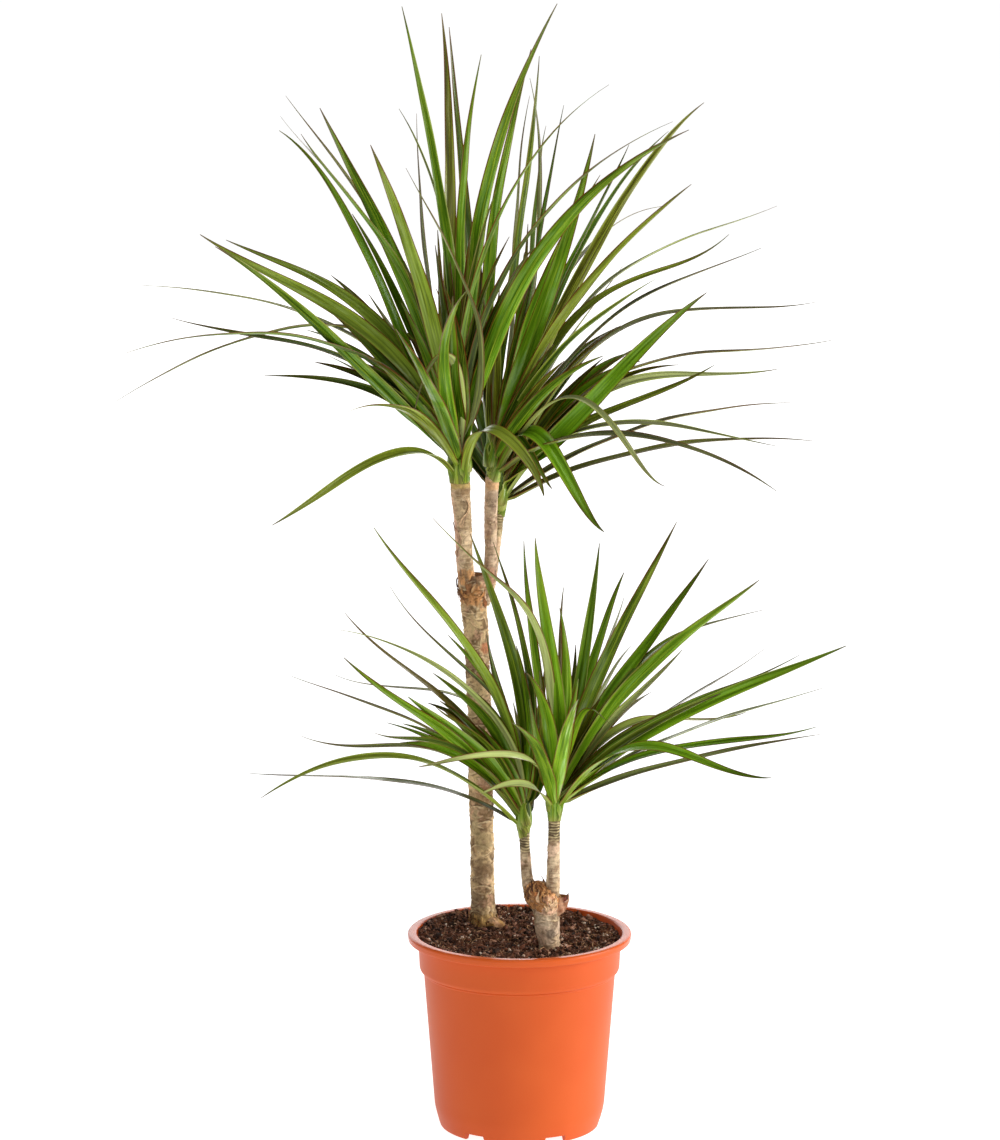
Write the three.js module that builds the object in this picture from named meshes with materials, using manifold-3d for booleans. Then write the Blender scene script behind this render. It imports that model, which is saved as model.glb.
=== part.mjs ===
// Potted dracaena (Dracaena marginata): two canes and five heads of strap leaves in a nursery pot.
// Millimetres, +Z up. The origin is the centre of the pot's underside.
import * as THREE from "three";
import { mergeVertices } from "three/addons/utils/BufferGeometryUtils.js";
import Module from "manifold-3d";

const wasm = await Module();
wasm.setup();

// ---------------------------------------------------------------- driving dimensions

const GAP = 0.3; // clearance between touching pieces

const POT = {
  sides: 32,
  rimRadius: 85,
  rimInner: 78,
  rimTop: 150.5,
  rimBottom: 144.4,
  collarRadius: 75.9,
  stepHeight: 121.2,
  wallRadius: 72.7, // just under the step
  heelRadius: 64.6, // where the wall turns in to the foot
  heelHeight: 15,
  footRadius: 61.2,
  wall: 1.7,
  flareHeight: 143, // the inside widens to the rim from here
  flareRadius: 75.2,
  mouthHeight: 149.7, // where the widening meets the rim
  floorHeight: 7, // the floor stands clear of the ground on its foot ring
  floor: 2.2,
  padRadius: 16, // middle of the floor that reaches the ground
  drainRadius: 3.6,
  drainCircle: 40,
  drains: 6,
  drainSides: 8,
  notchWidth: 18,
  notchHeight: 5.6,
  notches: 6,
  notchTurn: -4, // degrees: the notches are not square to the front
};

const SOIL = {
  top: 143.6,
  rings: 6,
  mound: 2.6, // higher round the tall cane
  moundReach: 34,
  lean: [-0.006, 0.012], // rise per millimetre along X and Y: towards the back left
  bank: 2.6, // higher at the wall
  bankFrom: 50,
  bankTurn: 125, // degrees: where the bank is highest
  bankSway: 0.32, // share by which it varies round the wall
  lumps: 0.8,
  holeClear: 0.8, // round a buried cane
  holeSides: 20,
};

// Leaf and cane places are given as [x, z] in the front elevation (the plane y = 0), seen from
// VIEWPOINT. Depth y then moves a point along its sight line, so the elevation stays true.
const VIEWPOINT = new THREE.Vector3(-14.8, -3200, 1001.6);

const BLADE = {
  thickness: 0.85,
  tip: 0.9, // width of the blunt tip
  rootWidth: 0.5, // share of the full width at the sheath
  spread: 0.22, // share of the length over which the blade reaches its full width
  sunk: 2.4, // depth of a blade's root inside the sheath bundle
  taper: 2.3,
  settle: 0.4, // share of the length over which the blade turns to its own roll
  clear: 1.4, // from the edge of a blade to the next head's space
  soften: 6,
  steps: 6,
  fillSteps: 4, // for the short leaves given by two points
};

// Heads: base is the top of the shoot in elevation, y its depth, core the sheath bundle.
// Leaf rows: [depth of the tip from the base, width, share of the width that shows, then two or
// three points x, z from the root out, the last being the tip].
const HEADS = [
  {
    name: "tall_cane_left_head",
    base: [-44.6, 497.6],
    y: 20,
    core: { radius: 8.4, height: 38 },
    leaves: [
      [110, 10, 0.2, -100, 602, -196, 605, -302, 554.5],
      [-130, 9, 0.3, -105, 583, -196, 607, -292, 592],
      [125, 8.5, 0.2, -110, 595, -196, 632, -288, 643],
      [60, 11, 0.75, -98, 606, -155, 649, -217, 676],
      [-50, 12, 0.9, -100, 597, -165, 641, -236, 680],
      [-110, 11.5, 0.85, -100, 563, -160, 622, -225, 671],
      [-50, 10, 0.4, -112, 579, -185, 603, -259, 618.5],
      [-120, 9.5, 0.75, -88, 518, -137, 494, -185, 462.5],
      [62, 9, 0.35, -88, 650, -127, 722, -172, 782],
      [70, 9, 0.2, -90, 652, -134, 719, -176, 767],
      [-90, 10, 0.5, -78, 633, -120, 700, -161, 754],
      [20, 9.5, 0.75, -82, 592, -124, 688, -177, 756.5],
      [-60, 13, 0.95, -72, 612, -108, 695, -147, 773],
      [-150, 13, 0.95, -63, 605, -86, 683, -110, 746],
      [0, 9, 0.4, -50, 607, -58, 692, -89, 772.5],
      [20, 9, 0.25, -62, 600, -72, 685, -76, 769],
      [-140, 7.5, 0.45, -29, 592, -46, 656, -84, 729],
      [-45, 10.5, 0.85, -49, 628, -64, 738, -86.5, 847],
      [0, 12, 0.9, -52, 622, -52, 735, -57.5, 842],
      [-70, 9.5, 0.8, -44, 625, -42, 715, -28.5, 812],
      [-110, 13, 0.9, -36, 640, -17, 743, 27, 849],
      [-150, 8, 0.35, -42, 605, -8, 708, 65, 790],
      [-150, 13, 0.9, -13, 615, 40, 697, 124, 757],
      [-130, 8.5, 0.35, -27, 615, 25, 702, 112, 763],
      [-95, 12.5, 0.9, -24, 535, 2, 517, 18, 484.5],
      [-120, 7.5, 0.8, -46, 575, -60, 590, -78, 550],
      // filling the near side
      [-210, 11, 0.8, -64, 560, -92, 610],
      [-200, 11, 0.8, -56, 590, -38, 640],
      [-170, 10, 0.7, -82, 548, -128, 548],
      // and behind, on the left
      [60, 10, 0.7, -100, 560, -190, 575],
      [90, 11, 0.7, -95, 600, -140, 650],
    ],
  },
  {
    name: "tall_cane_middle_head",
    base: [-20.2, 498.4],
    y: 40,
    core: { radius: 6.6, height: 34 },
    leaves: [
      [10, 10, 0.8, -33, 622, -43, 728, -52, 832],
      [-14, 11, 0.85, -24, 625, -15, 715, 8, 816],
      [-6, 9.5, 0.7, -10, 610, 4, 712, 14, 811],
      [-62, 13.5, 1, 6, 594, 32, 669, 55, 754],
      [-10, 10, 0.6, 5, 610, 30, 672, 59, 724],
      [-70, 12, 0.75, 20, 600, 74, 702, 135, 777],
      [-105, 10.5, 0.75, 20, 600, 70, 666, 126, 717],
      [-95, 9.5, 0.5, 16, 577, 57, 618, 100, 647],
      [-120, 9, 0.35, 45, 530, 120, 523, 191, 488.5],
      [-65, 14, 0.95, 11, 532, 37, 496, 63, 457.5],
      [-110, 7.5, 0.75, 38, 559, 76, 528, 108, 492],
      [-34, 9, 0.75, -6, 531, 10, 513, 24, 490],
      [-130, 10, 0.8, 16, 560, 62, 590],
    ],
  },
  {
    name: "tall_cane_right_head",
    base: [-15.4, 471],
    y: 66,
    core: { radius: 5, height: 40 },
    leaves: [
      [50, 8, 0.45, 6, 610, 15, 712, 7, 795],
      [130, 8, 0.3, -6, 600, -2, 700, 7, 782],
      [160, 9, 0.35, 4, 610, 12, 700, 19, 760],
      [30, 9, 0.5, 2, 600, 17, 693, 32, 775],
      [20, 10, 0.5, 12, 600, 47, 679, 80, 746],
      [100, 9, 0.45, 22, 620, 66, 706, 109, 756],
      [150, 8, 0.3, 20, 622, 65, 684, 108, 701],
      [120, 8.5, 0.22, 42, 620, 112, 673, 189, 701],
      [80, 9.5, 0.5, 38, 614, 97, 651, 154, 680],
      [15, 8.5, 0.28, 45, 597, 112, 644, 178, 670],
      [170, 8, 0.35, 14, 565, 45, 615, 76, 657],
      [-16, 9.5, 0.28, 60, 600, 138, 625, 219, 630],
      [70, 9.5, 0.28, 62, 571, 146, 593, 233, 602],
      [-20, 14, 1, 35, 537, 85, 590, 138, 637],
      [110, 10.5, 0.55, 55, 560, 122, 576, 191, 580],
      [20, 10.5, 0.6, 40, 535, 93, 559, 144, 583],
      [150, 8.5, 0.25, 58, 524, 130, 547, 201, 555],
      [-18, 8.5, 0.3, 45, 534, 118, 537, 190, 522.5],
      [40, 9.5, 0.35, 57, 510, 138, 526, 219, 526],
      // filling the far side
      [205, 11, 0.8, -14, 545, -18, 600],
      [185, 11, 0.8, -34, 560, -62, 640],
      [215, 11, 0.8, 4, 540, 22, 568],
      [195, 10, 0.8, -54, 545, -102, 598],
      [180, 11, 0.8, 14, 570, 42, 640],
      [150, 10, 0.8, -28, 590, -46, 692],
      [200, 10, 0.8, 22, 540, 62, 560],
      [225, 10, 0.8, -40, 525, -70, 566],
      [150, 10, 0.8, -62, 560, -112, 636],
      [230, 10, 0.8, -24, 512, -30, 535],
      [150, 10, 0.6, -72, 545, -142, 590],
      [190, 9, 0.6, 40, 560, 96, 600],
    ],
  },
  {
    name: "short_cane_left_head",
    base: [3.6, 226],
    y: -16,
    core: { radius: 5.4, height: 32 },
    leaves: [
      [-60, 9.5, 0.8, -20, 338, -64, 403, -109, 461],
      [-14, 8, 0.3, -13, 322, -52, 364, -97, 416],
      [-10, 12, 0.85, 4, 316, -12, 384, -37, 456],
      [-26, 8.5, 0.7, 9, 316, 2, 376, -20, 450],
      [20, 9, 0.5, -42, 316, -86, 354, -131, 396],
      [-60, 8, 0.45, -17, 313, -72, 361, -134.5, 383],
      [-80, 10, 0.85, -46, 296, -88, 327, -132, 362],
      [-50, 11.5, 0.9, -24, 282, -54, 309, -84, 332],
      [30, 7.5, 0.3, -30, 322, -84, 339, -139, 349],
      [90, 8, 0.25, -53, 297, -113, 327, -172, 348],
      [-26, 10, 0.8, -14, 296, -38, 328, -65, 350],
      [-66, 9, 0.5, -20, 289, -42, 309, -63, 324],
      [-90, 9, 0.4, -40, 288, -76, 299, -109, 304],
      [-40, 8.5, 0.3, -55, 288, -110, 294, -165, 302],
      [-80, 9, 0.45, -72, 282, -140, 281, -195, 254],
      [80, 8.5, 0.3, -65, 262.5, -135, 270.5, -204, 273],
      [4, 8.5, 0.65, -6, 300, -17, 342, -25, 382],
      // filling the far side
      [175, 10, 0.8, 6, 290, 10, 332],
      [195, 10, 0.8, 2, 270, -4, 300],
      [150, 10, 0.8, 13, 300, 20, 362],
      [66, 10, 0.7, -40, 284, -100, 312],
      [190, 9, 0.8, 8, 262, 12, 285],
    ],
  },
  {
    name: "short_cane_right_head",
    base: [26.1, 239.2],
    y: -34,
    core: { radius: 6, height: 32 },
    leaves: [
      [-120, 7.5, 0.6, 18, 368, -10, 415, -65, 468],
      [-34, 8.5, 0.75, 17, 325, 8, 390, 3, 451],
      [-66, 12, 0.95, 28, 325, 19, 392, 11.5, 453],
      [10, 8, 0.5, 31, 310, 31, 372, 33, 416],
      [-24, 11, 0.9, 33, 305, 35, 352, 30, 400],
      [0, 11, 0.8, 41, 318, 52, 386, 59.5, 449],
      [60, 10, 0.8, 43, 317, 61, 379, 78, 427],
      [100, 8, 0.4, 44, 312, 64, 366, 78, 408],
      [-30, 11.5, 0.8, 53, 333, 84, 400, 117, 465],
      [60, 12, 0.85, 62, 323, 101, 380, 141, 437],
      [-50, 12, 0.85, 77, 333, 128, 382, 179, 421],
      [70, 8.5, 0.45, 80, 346, 128, 383, 183, 398.5],
      [110, 9, 0.6, 62, 305, 93, 338, 122, 368],
      [120, 8.5, 0.5, 48, 305, 66, 345, 84, 371],
      [-70, 12, 0.9, 98, 305, 172, 341, 245, 371],
      [10, 8, 0.4, 88, 306, 150, 336, 210, 364],
      [120, 8, 0.28, 76, 298, 130, 333, 184, 369],
      [110, 8.5, 0.35, 97, 293, 163, 319, 229, 339],
      [140, 8.5, 0.35, 76, 308, 122, 315, 170, 320],
      [-30, 10, 0.6, 95, 287, 160, 298, 224, 309],
      [40, 9, 0.35, 82, 271, 155, 290, 226, 303],
      [-110, 10.5, 0.75, 84, 293, 137, 283, 190, 269.5],
      [-60, 6.5, 0.8, 43, 310, 54, 322, 68, 311],
      [-115, 7.5, 0.75, 5, 284, -36, 286, -76, 278],
      [-66, 8.5, 0.7, 10, 262.5, -8, 265, -29, 257],
      // filling the far and near sides
      [170, 10, 0.8, 38, 275, 48, 300],
      [165, 10, 0.8, 44, 295, 66, 335],
      [175, 10, 0.8, 52, 270, 84, 292],
      [130, 10, 0.8, 38, 310, 42, 372],
      [160, 9, 0.6, 62, 280, 110, 318],
      [-190, 11, 0.8, 34, 300, 44, 330],
      [-185, 10, 0.8, 14, 290, -6, 312],
    ],
  },
];

// Boundaries between neighbouring heads, seen from above: y = y0 + slope * (x - x0), with one
// slope to the left of x0 and one to the right. Leaves bend clear of them on their own side.
const FRONT_GAP = { x0: -32, y0: 30, left: -0.5, right: -0.75 };
const BACK_GAP = { x0: -15, y0: 53, left: -0.5, right: -0.15 };
const SHORT_GAP = { x0: 15, y0: -26, left: 1, right: 2 };
const SPACE = {
  tall_cane_left_head: { below: FRONT_GAP },
  tall_cane_middle_head: { above: FRONT_GAP, below: BACK_GAP },
  tall_cane_right_head: { above: BACK_GAP },
  short_cane_left_head: { above: SHORT_GAP },
  short_cane_right_head: { below: SHORT_GAP },
};

// Canes: rows of [x, z, radius] in elevation, from the buried end up, at the given depths.
const TALL_CANE = {
  name: "tall_cane",
  foot: { x: -27.1, y: 34, bottom: 60, radius: 9 },
  sides: 14,
  trunk: {
    y: [34, 32],
    rows: [
      [-27, 152, 9.4],
      [-27.4, 163, 9.7],
      [-27.8, 178, 9.2],
      [-28.1, 200, 9.1],
      [-28.3, 222, 9],
      [-29.2, 254, 9.2],
      [-30.2, 311, 9.4],
      [-31.2, 345, 9.2],
      [-32.6, 378, 9.3],
      [-34.2, 399, 9.7],
      [-35.4, 414, 11],
      [-35.8, 421, 11.2],
      [-35, 425.6, 8.4],
    ],
  },
  shoots: [
    {
      y: [30, 20],
      rows: [
        [-38.5, 408, 6],
        [-40.2, 425, 6.4],
        [-41.2, 436, 6.3],
        [-42, 455, 6.4],
        [-42.8, 470, 6.6],
        [-44, 485, 7.2],
        [-44.6, 497, 7.6],
      ],
    },
    {
      y: [33, 40],
      rows: [
        [-27.2, 403, 5],
        [-23.5, 420, 5.4],
        [-21.6, 440, 4.7],
        [-21.7, 460, 4.7],
        [-21.4, 480, 5],
        [-20.2, 498, 5.4],
      ],
    },
    {
      y: [38, 66],
      rows: [
        [-26.4, 402, 4],
        [-22.4, 416, 4],
        [-19.4, 435, 3.7],
        [-17.6, 450, 3.6],
        [-16, 462, 3.6],
        [-15.4, 470.6, 3.8],
      ],
    },
  ],
};

const SHORT_CANE = {
  name: "short_cane",
  foot: { x: 22.2, y: -25, bottom: 60, radius: 8.4 },
  sides: 14,
  trunk: {
    y: [-25, -25],
    rows: [
      [22.4, 142, 8.4],
      [22, 152, 9.4],
      [21.4, 160, 10],
      [21.2, 168, 11.6],
      [20.4, 175, 14.6],
      [20, 182, 14.8],
      [19.2, 187, 9.6],
      [18.6, 189.6, 5.4],
    ],
  },
  shoots: [
    {
      y: [-23, -16],
      rows: [
        [11, 176, 4.6],
        [7.4, 186, 4.3],
        [5.6, 196, 4],
        [4.7, 206, 3.9],
        [3.9, 216, 3.8],
        [3.6, 225.4, 4],
      ],
    },
    {
      y: [-26, -34],
      rows: [
        [24, 174, 5.6],
        [25.2, 186, 5.3],
        [25.6, 198, 5],
        [25.8, 212, 4.6],
        [26, 226, 4.5],
        [26.1, 238.6, 4.7],
      ],
    },
    {
      // the stub left where a third shoot broke off
      y: [-25, -27],
      rows: [
        [24, 172, 5],
        [31, 177, 3.8],
        [36.4, 180, 2.6],
        [37.6, 181, 1.4],
      ],
    },
  ],
};

const FINISH = {
  pot: { color: 0xe0661f, roughness: 0.42, metalness: 0 },
  soil: { color: 0x3a2418, roughness: 0.97, metalness: 0 },
  bark: { color: 0xb0936f, roughness: 0.85, metalness: 0 },
  greyBark: { color: 0x8f7d67, roughness: 0.88, metalness: 0 },
  leaf: { color: 0x4b8a1c, roughness: 0.45, metalness: 0 },
};

// ---------------------------------------------------------------- helpers

const scratch = new THREE.Vector3();

// The point at depth y that is seen at x, z in the front elevation.
function seen(x, z, y) {
  const along = (y - VIEWPOINT.y) / -VIEWPOINT.y;
  return new THREE.Vector3(x, 0, z).sub(VIEWPOINT).multiplyScalar(along).add(VIEWPOINT);
}

// A closed solid from flat lists of vertices and triangles.
function solid(vertices, triangles) {
  return new wasm.Manifold(
    new wasm.Mesh({
      numProp: 3,
      vertProperties: new Float32Array(vertices),
      triVerts: new Uint32Array(triangles),
    }),
  );
}

// A closed solid from a three.js geometry.
function solidOf(geometry) {
  const bare = geometry.clone();
  bare.deleteAttribute("normal");
  bare.deleteAttribute("uv");
  const merged = mergeVertices(bare, 1e-4);
  return solid(merged.attributes.position.array, merged.index.array);
}

// The main body of a solid, without the scraps and sealed pockets that joining leaves.
function largest(made) {
  return made.decompose().reduce((best, body) => (body.volume() > best.volume() ? body : best));
}

// A three.js mesh from a solid.
function meshOf(name, made, finish) {
  const data = made.getMesh();
  const geometry = new THREE.BufferGeometry();
  geometry.setAttribute("position", new THREE.BufferAttribute(data.vertProperties, 3));
  geometry.setIndex(new THREE.BufferAttribute(data.triVerts, 1));
  geometry.computeVertexNormals();
  const mesh = new THREE.Mesh(geometry, new THREE.MeshStandardMaterial(finish));
  mesh.name = name;
  return mesh;
}

// A lathe about Z from a closed profile of [radius, height] pairs.
function turned(profile, sides) {
  const points = profile.map(([r, z]) => new THREE.Vector2(r, z));
  const geometry = new THREE.LatheGeometry(points, sides);
  geometry.rotateX(Math.PI / 2);
  return solidOf(geometry);
}

// A round bar through rings of { at, radius }, closed with flat ends square to Z.
function bar(rings, sides) {
  const vertices = [];
  const triangles = [];
  rings.forEach(({ at, radius }) => {
    for (let k = 0; k < sides; k++) {
      const angle = (2 * Math.PI * k) / sides;
      vertices.push(at.x + radius * Math.cos(angle), at.y + radius * Math.sin(angle), at.z);
    }
  });
  for (let i = 0; i + 1 < rings.length; i++) {
    for (let k = 0; k < sides; k++) {
      const a = i * sides + k;
      const b = i * sides + ((k + 1) % sides);
      triangles.push(a, b, b + sides, a, b + sides, a + sides);
    }
  }
  const last = (rings.length - 1) * sides;
  for (let k = 1; k + 1 < sides; k++) {
    triangles.push(0, k + 1, k, last, last + k, last + k + 1);
  }
  return solid(vertices, triangles);
}

// Half the sum of d and its smoothed size: close to d where d is large, and never below zero.
function softPositive(d) {
  return (d + Math.hypot(d, BLADE.soften)) / 2;
}

// Depth of a boundary at x, and how far along y the clearance reaches on its steeper side.
function boundary(gap, x, clearance) {
  const slope = x < gap.x0 ? gap.left : gap.right;
  const steepest = Math.max(Math.abs(gap.left), Math.abs(gap.right));
  return { y: gap.y0 + slope * (x - gap.x0), reach: clearance * Math.hypot(1, steepest) };
}

// Keeps a depth on its own side of the neighbouring heads' boundaries.
function keepClear(space, x, y, clearance) {
  let kept = y;
  if (space.below) {
    const { y: limit, reach } = boundary(space.below, x, clearance);
    kept = limit - reach - softPositive(limit - reach - kept);
  }
  if (space.above) {
    const { y: limit, reach } = boundary(space.above, x, clearance);
    kept = limit + reach + softPositive(kept - limit - reach);
  }
  return kept;
}

// Bezier control points of the curve that passes through the root and the given points at even
// steps: a parabola through two, a cubic through three.
function controls(points) {
  const [s, a, b, e] = points;
  if (points.length === 3) {
    return [s, [2 * a[0] - (s[0] + b[0]) / 2, 2 * a[1] - (s[1] + b[1]) / 2], b];
  }
  const inner = (p, q, from, to) => (-5 * from + 18 * p - 9 * q + 2 * to) / 6;
  return [
    s,
    [inner(a[0], b[0], s[0], e[0]), inner(a[1], b[1], s[1], e[1])],
    [inner(b[0], a[0], e[0], s[0]), inner(b[1], a[1], e[1], s[1])],
    e,
  ];
}

// A Bezier curve of any degree at t, by repeated halving of the list.
function bezier(points, t) {
  let left = points;
  while (left.length > 1) {
    left = left.slice(1).map((p, i) => p.map((value, k) => left[i][k] * (1 - t) + value * t));
  }
  return left[0];
}

function smooth(t) {
  const c = Math.min(1, Math.max(0, t));
  return c * c * (3 - 2 * c);
}

// Width of a blade of full width w at t from root to tip.
function bladeWidth(w, t) {
  const rise = BLADE.rootWidth + (1 - BLADE.rootWidth) * smooth(t / BLADE.spread);
  return BLADE.tip + (w - BLADE.tip) * rise * (1 - t ** BLADE.taper);
}

// Radius of the sheath bundle at a share of its height, as a share of its full radius.
function coreShare(share) {
  return 1 - 0.62 * share * share;
}

// The centre line of one leaf, and the roll that shows the given share of its width.
function leafPath(head, row) {
  const [depth, width, shown, ...flat] = row;
  const points = [];
  for (let i = 0; i < flat.length; i += 2) points.push([flat[i], flat[i + 1]]);
  const tip = points[points.length - 1];
  const across = tip[0] - head.base[0];
  const up = tip[1] - head.base[1];
  const lift = Math.max(0, up / Math.hypot(across, up, depth));
  const share = 0.12 + 0.6 * lift;
  const height = head.core.height * share;
  const turn = Math.atan2(depth, across);
  const offset = Math.max(0.6, head.core.radius * coreShare(share) - BLADE.sunk);
  const root = [head.base[0] + offset * Math.cos(turn), head.base[1] + height];
  const curve = controls([root, ...points]);
  const rootDepth = head.y + offset * Math.sin(turn);
  const clearance = width / 2 + BLADE.clear;
  const at = (t) => {
    const [x, z] = bezier(curve, t);
    const free = rootDepth + (depth - offset * Math.sin(turn)) * t;
    const y = keepClear(SPACE[head.name], x, free, clearance);
    return seen(x, z, y);
  };
  const span = at(1).sub(at(0));
  const flatWidth = new THREE.Vector3(-span.y, span.x, 0).normalize();
  const frame = (t) => {
    const tangent = at(Math.min(1, t + 0.02)).sub(at(Math.max(0, t - 0.02))).normalize();
    const side = flatWidth.clone().addScaledVector(tangent, -flatWidth.dot(tangent)).normalize();
    return { tangent, side, normal: tangent.clone().cross(side).normalize() };
  };
  const middle = frame(0.5);
  const sight = at(0.5).sub(VIEWPOINT).normalize();
  const phase = Math.atan2(sight.dot(middle.side), sight.dot(middle.normal));
  const fan = Math.acos(shown);
  const rolls = [-1, 0, 1].flatMap((k) => [phase + fan + k * Math.PI, phase - fan + k * Math.PI]);
  const roll = rolls.reduce((best, r) => (Math.abs(r) < Math.abs(best) ? r : best));
  return { at, frame, width, roll, steps: points.length === 3 ? BLADE.steps : BLADE.fillSteps };
}

// One strap leaf: a closed blade of rectangular section along its centre line.
function leafSolid(head, row) {
  const { at, frame, width, roll, steps } = leafPath(head, row);
  const vertices = [];
  const triangles = [];
  for (let i = 0; i <= steps; i++) {
    const t = i / steps;
    const { side, normal } = frame(t);
    const turn = roll * smooth(t / BLADE.settle);
    const half = bladeWidth(width, t) / 2;
    // rolling by turn carries the normal towards the side and the side away from the normal
    const across = side.clone().multiplyScalar(Math.cos(turn)).addScaledVector(normal, -Math.sin(turn));
    const out = normal.clone().multiplyScalar(Math.cos(turn)).addScaledVector(side, Math.sin(turn));
    const thick = BLADE.thickness / 2;
    for (const [u, v] of [[-1, 1], [1, 1], [1, -1], [-1, -1]]) {
      scratch.copy(at(t)).addScaledVector(across, u * half).addScaledVector(out, v * thick);
      vertices.push(scratch.x, scratch.y, scratch.z);
    }
  }
  // top, right, bottom and left strips, with the same diagonal on both faces
  for (let i = 0; i < steps; i++) {
    const a = 4 * i;
    const b = a + 4;
    triangles.push(a, a + 1, b + 1, a, b + 1, b);
    triangles.push(a + 1, a + 2, b + 1, a + 2, b + 2, b + 1);
    triangles.push(a + 2, a + 3, b + 2, a + 3, b + 3, b + 2);
    triangles.push(a + 3, a, b, a + 3, b, b + 3);
  }
  const e = 4 * steps;
  triangles.push(0, 3, 2, 0, 2, 1);
  triangles.push(e, e + 1, e + 2, e, e + 2, e + 3);
  const made = solid(vertices, triangles);
  if (made.volume() > 0) return made;
  for (let i = 0; i < triangles.length; i += 3) {
    [triangles[i + 1], triangles[i + 2]] = [triangles[i + 2], triangles[i + 1]];
  }
  return solid(vertices, triangles);
}

// The bundle of sheaths that a head's leaves grow from: a tapering core, flat underneath.
function coreSolid(head) {
  const { radius, height } = head.core;
  const shares = [0, 0.3, 0.55, 0.8, 1];
  const rings = shares.map((share) => ({
    at: seen(head.base[0], head.base[1] + share * height, head.y),
    radius: radius * coreShare(share),
  }));
  return bar(rings, 10);
}

function headMesh(head) {
  const blades = head.leaves.map((row) => leafSolid(head, row));
  return meshOf(head.name, largest(wasm.Manifold.union([coreSolid(head), ...blades])), FINISH.leaf);
}

// One grown length of a cane: its rows placed in depth.
function length(part, sides) {
  const [from, to] = part.y;
  const low = part.rows[0][1];
  const high = part.rows[part.rows.length - 1][1];
  const rings = part.rows.map(([x, z, radius]) => ({
    at: seen(x, z, from + ((to - from) * (z - low)) / (high - low)),
    radius,
  }));
  return bar(rings, sides);
}

function caneMesh(cane, finish) {
  const { foot } = cane;
  const base = seen(cane.trunk.rows[0][0], cane.trunk.rows[0][1], cane.trunk.y[0]);
  const buried = bar(
    [
      { at: new THREE.Vector3(foot.x, foot.y, foot.bottom), radius: foot.radius },
      { at: new THREE.Vector3(foot.x, foot.y, base.z + 2), radius: foot.radius },
    ],
    cane.sides,
  );
  const shoots = cane.shoots.map((shoot) => length(shoot, cane.sides - 4));
  const made = wasm.Manifold.union([buried, length(cane.trunk, cane.sides), ...shoots]);
  return meshOf(cane.name, made, finish);
}

function potMesh() {
  const p = POT;
  const wallInner = p.wallRadius - p.wall;
  const heelInner = p.heelRadius - p.wall;
  const floorTop = p.floorHeight + p.floor;
  const body = turned(
    [
      [0, 0],
      [p.padRadius, 0],
      [p.padRadius + 2, p.floorHeight],
      [p.footRadius - 6, p.floorHeight],
      [p.footRadius - 5, 0],
      [p.footRadius - 1.4, 0],
      [p.footRadius, 2.4],
      [p.heelRadius, p.heelHeight],
      [p.wallRadius, p.stepHeight - 0.4],
      [p.collarRadius - 0.5, p.stepHeight + 0.4],
      [p.collarRadius, p.stepHeight + 1.6],
      [p.collarRadius + 1, p.rimBottom],
      [p.rimRadius - 1, p.rimBottom],
      [p.rimRadius, p.rimBottom + 1.2],
      [p.rimRadius, p.rimTop - 1.4],
      [p.rimRadius - 1, p.rimTop],
      [p.rimInner + 1, p.rimTop],
      [p.rimInner, p.mouthHeight],
      [p.flareRadius, p.flareHeight],
      [p.collarRadius - p.wall, p.stepHeight + 1.6],
      [wallInner, p.stepHeight - 1],
      [heelInner, p.heelHeight],
      [heelInner - 1.4, floorTop],
      [0, floorTop],
    ],
    p.sides,
  );
  const cuts = [];
  for (let k = 0; k < p.drains; k++) {
    const angle = (2 * Math.PI * k) / p.drains;
    const drill = new THREE.CylinderGeometry(p.drainRadius, p.drainRadius, p.floor * 4, p.drainSides);
    drill.rotateX(Math.PI / 2);
    drill.translate(p.drainCircle * Math.cos(angle), p.drainCircle * Math.sin(angle), floorTop);
    cuts.push(solidOf(drill));
  }
  for (let k = 0; k < p.notches; k++) {
    const box = new THREE.BoxGeometry(12, p.notchWidth, 2 * p.notchHeight);
    box.translate(p.footRadius - 2, 0, 0);
    box.rotateZ((2 * Math.PI * k) / p.notches + THREE.MathUtils.degToRad(p.notchTurn));
    cuts.push(solidOf(box));
  }
  return meshOf("pot", body.subtract(wasm.Manifold.union(cuts)), FINISH.pot);
}

// Height of the soil surface: a mound round the tall cane, a bank along the wall that is highest at
// the back left, and two sizes of gentle lumps.
function soilHeight(x, y) {
  const { foot } = TALL_CANE;
  const mound = Math.exp(-((x - foot.x) ** 2 + (y - foot.y) ** 2) / (2 * SOIL.moundReach ** 2));
  const lumps = Math.sin(x * 0.19 + 1.3) * Math.cos(y * 0.23 - 0.4);
  const small = Math.sin(x * 0.51 - y * 0.37) / 2;
  const lean = SOIL.lean[0] * x + SOIL.lean[1] * y;
  const near = THREE.MathUtils.smoothstep(Math.hypot(x, y), SOIL.bankFrom, POT.rimInner);
  const sway = Math.cos(Math.atan2(y, x) - THREE.MathUtils.degToRad(SOIL.bankTurn));
  const bank = SOIL.bank * near * (1 - SOIL.bankSway + SOIL.bankSway * sway);
  return SOIL.top + lean + bank + SOIL.mound * mound + SOIL.lumps * (lumps + small);
}

// Radius of the pot's inside at a height above the start of its flare.
function flare(z) {
  const p = POT;
  const slope = (p.rimInner - p.flareRadius) / (p.mouthHeight - p.flareHeight);
  return p.flareRadius + slope * Math.max(0, z - p.flareHeight);
}

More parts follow.
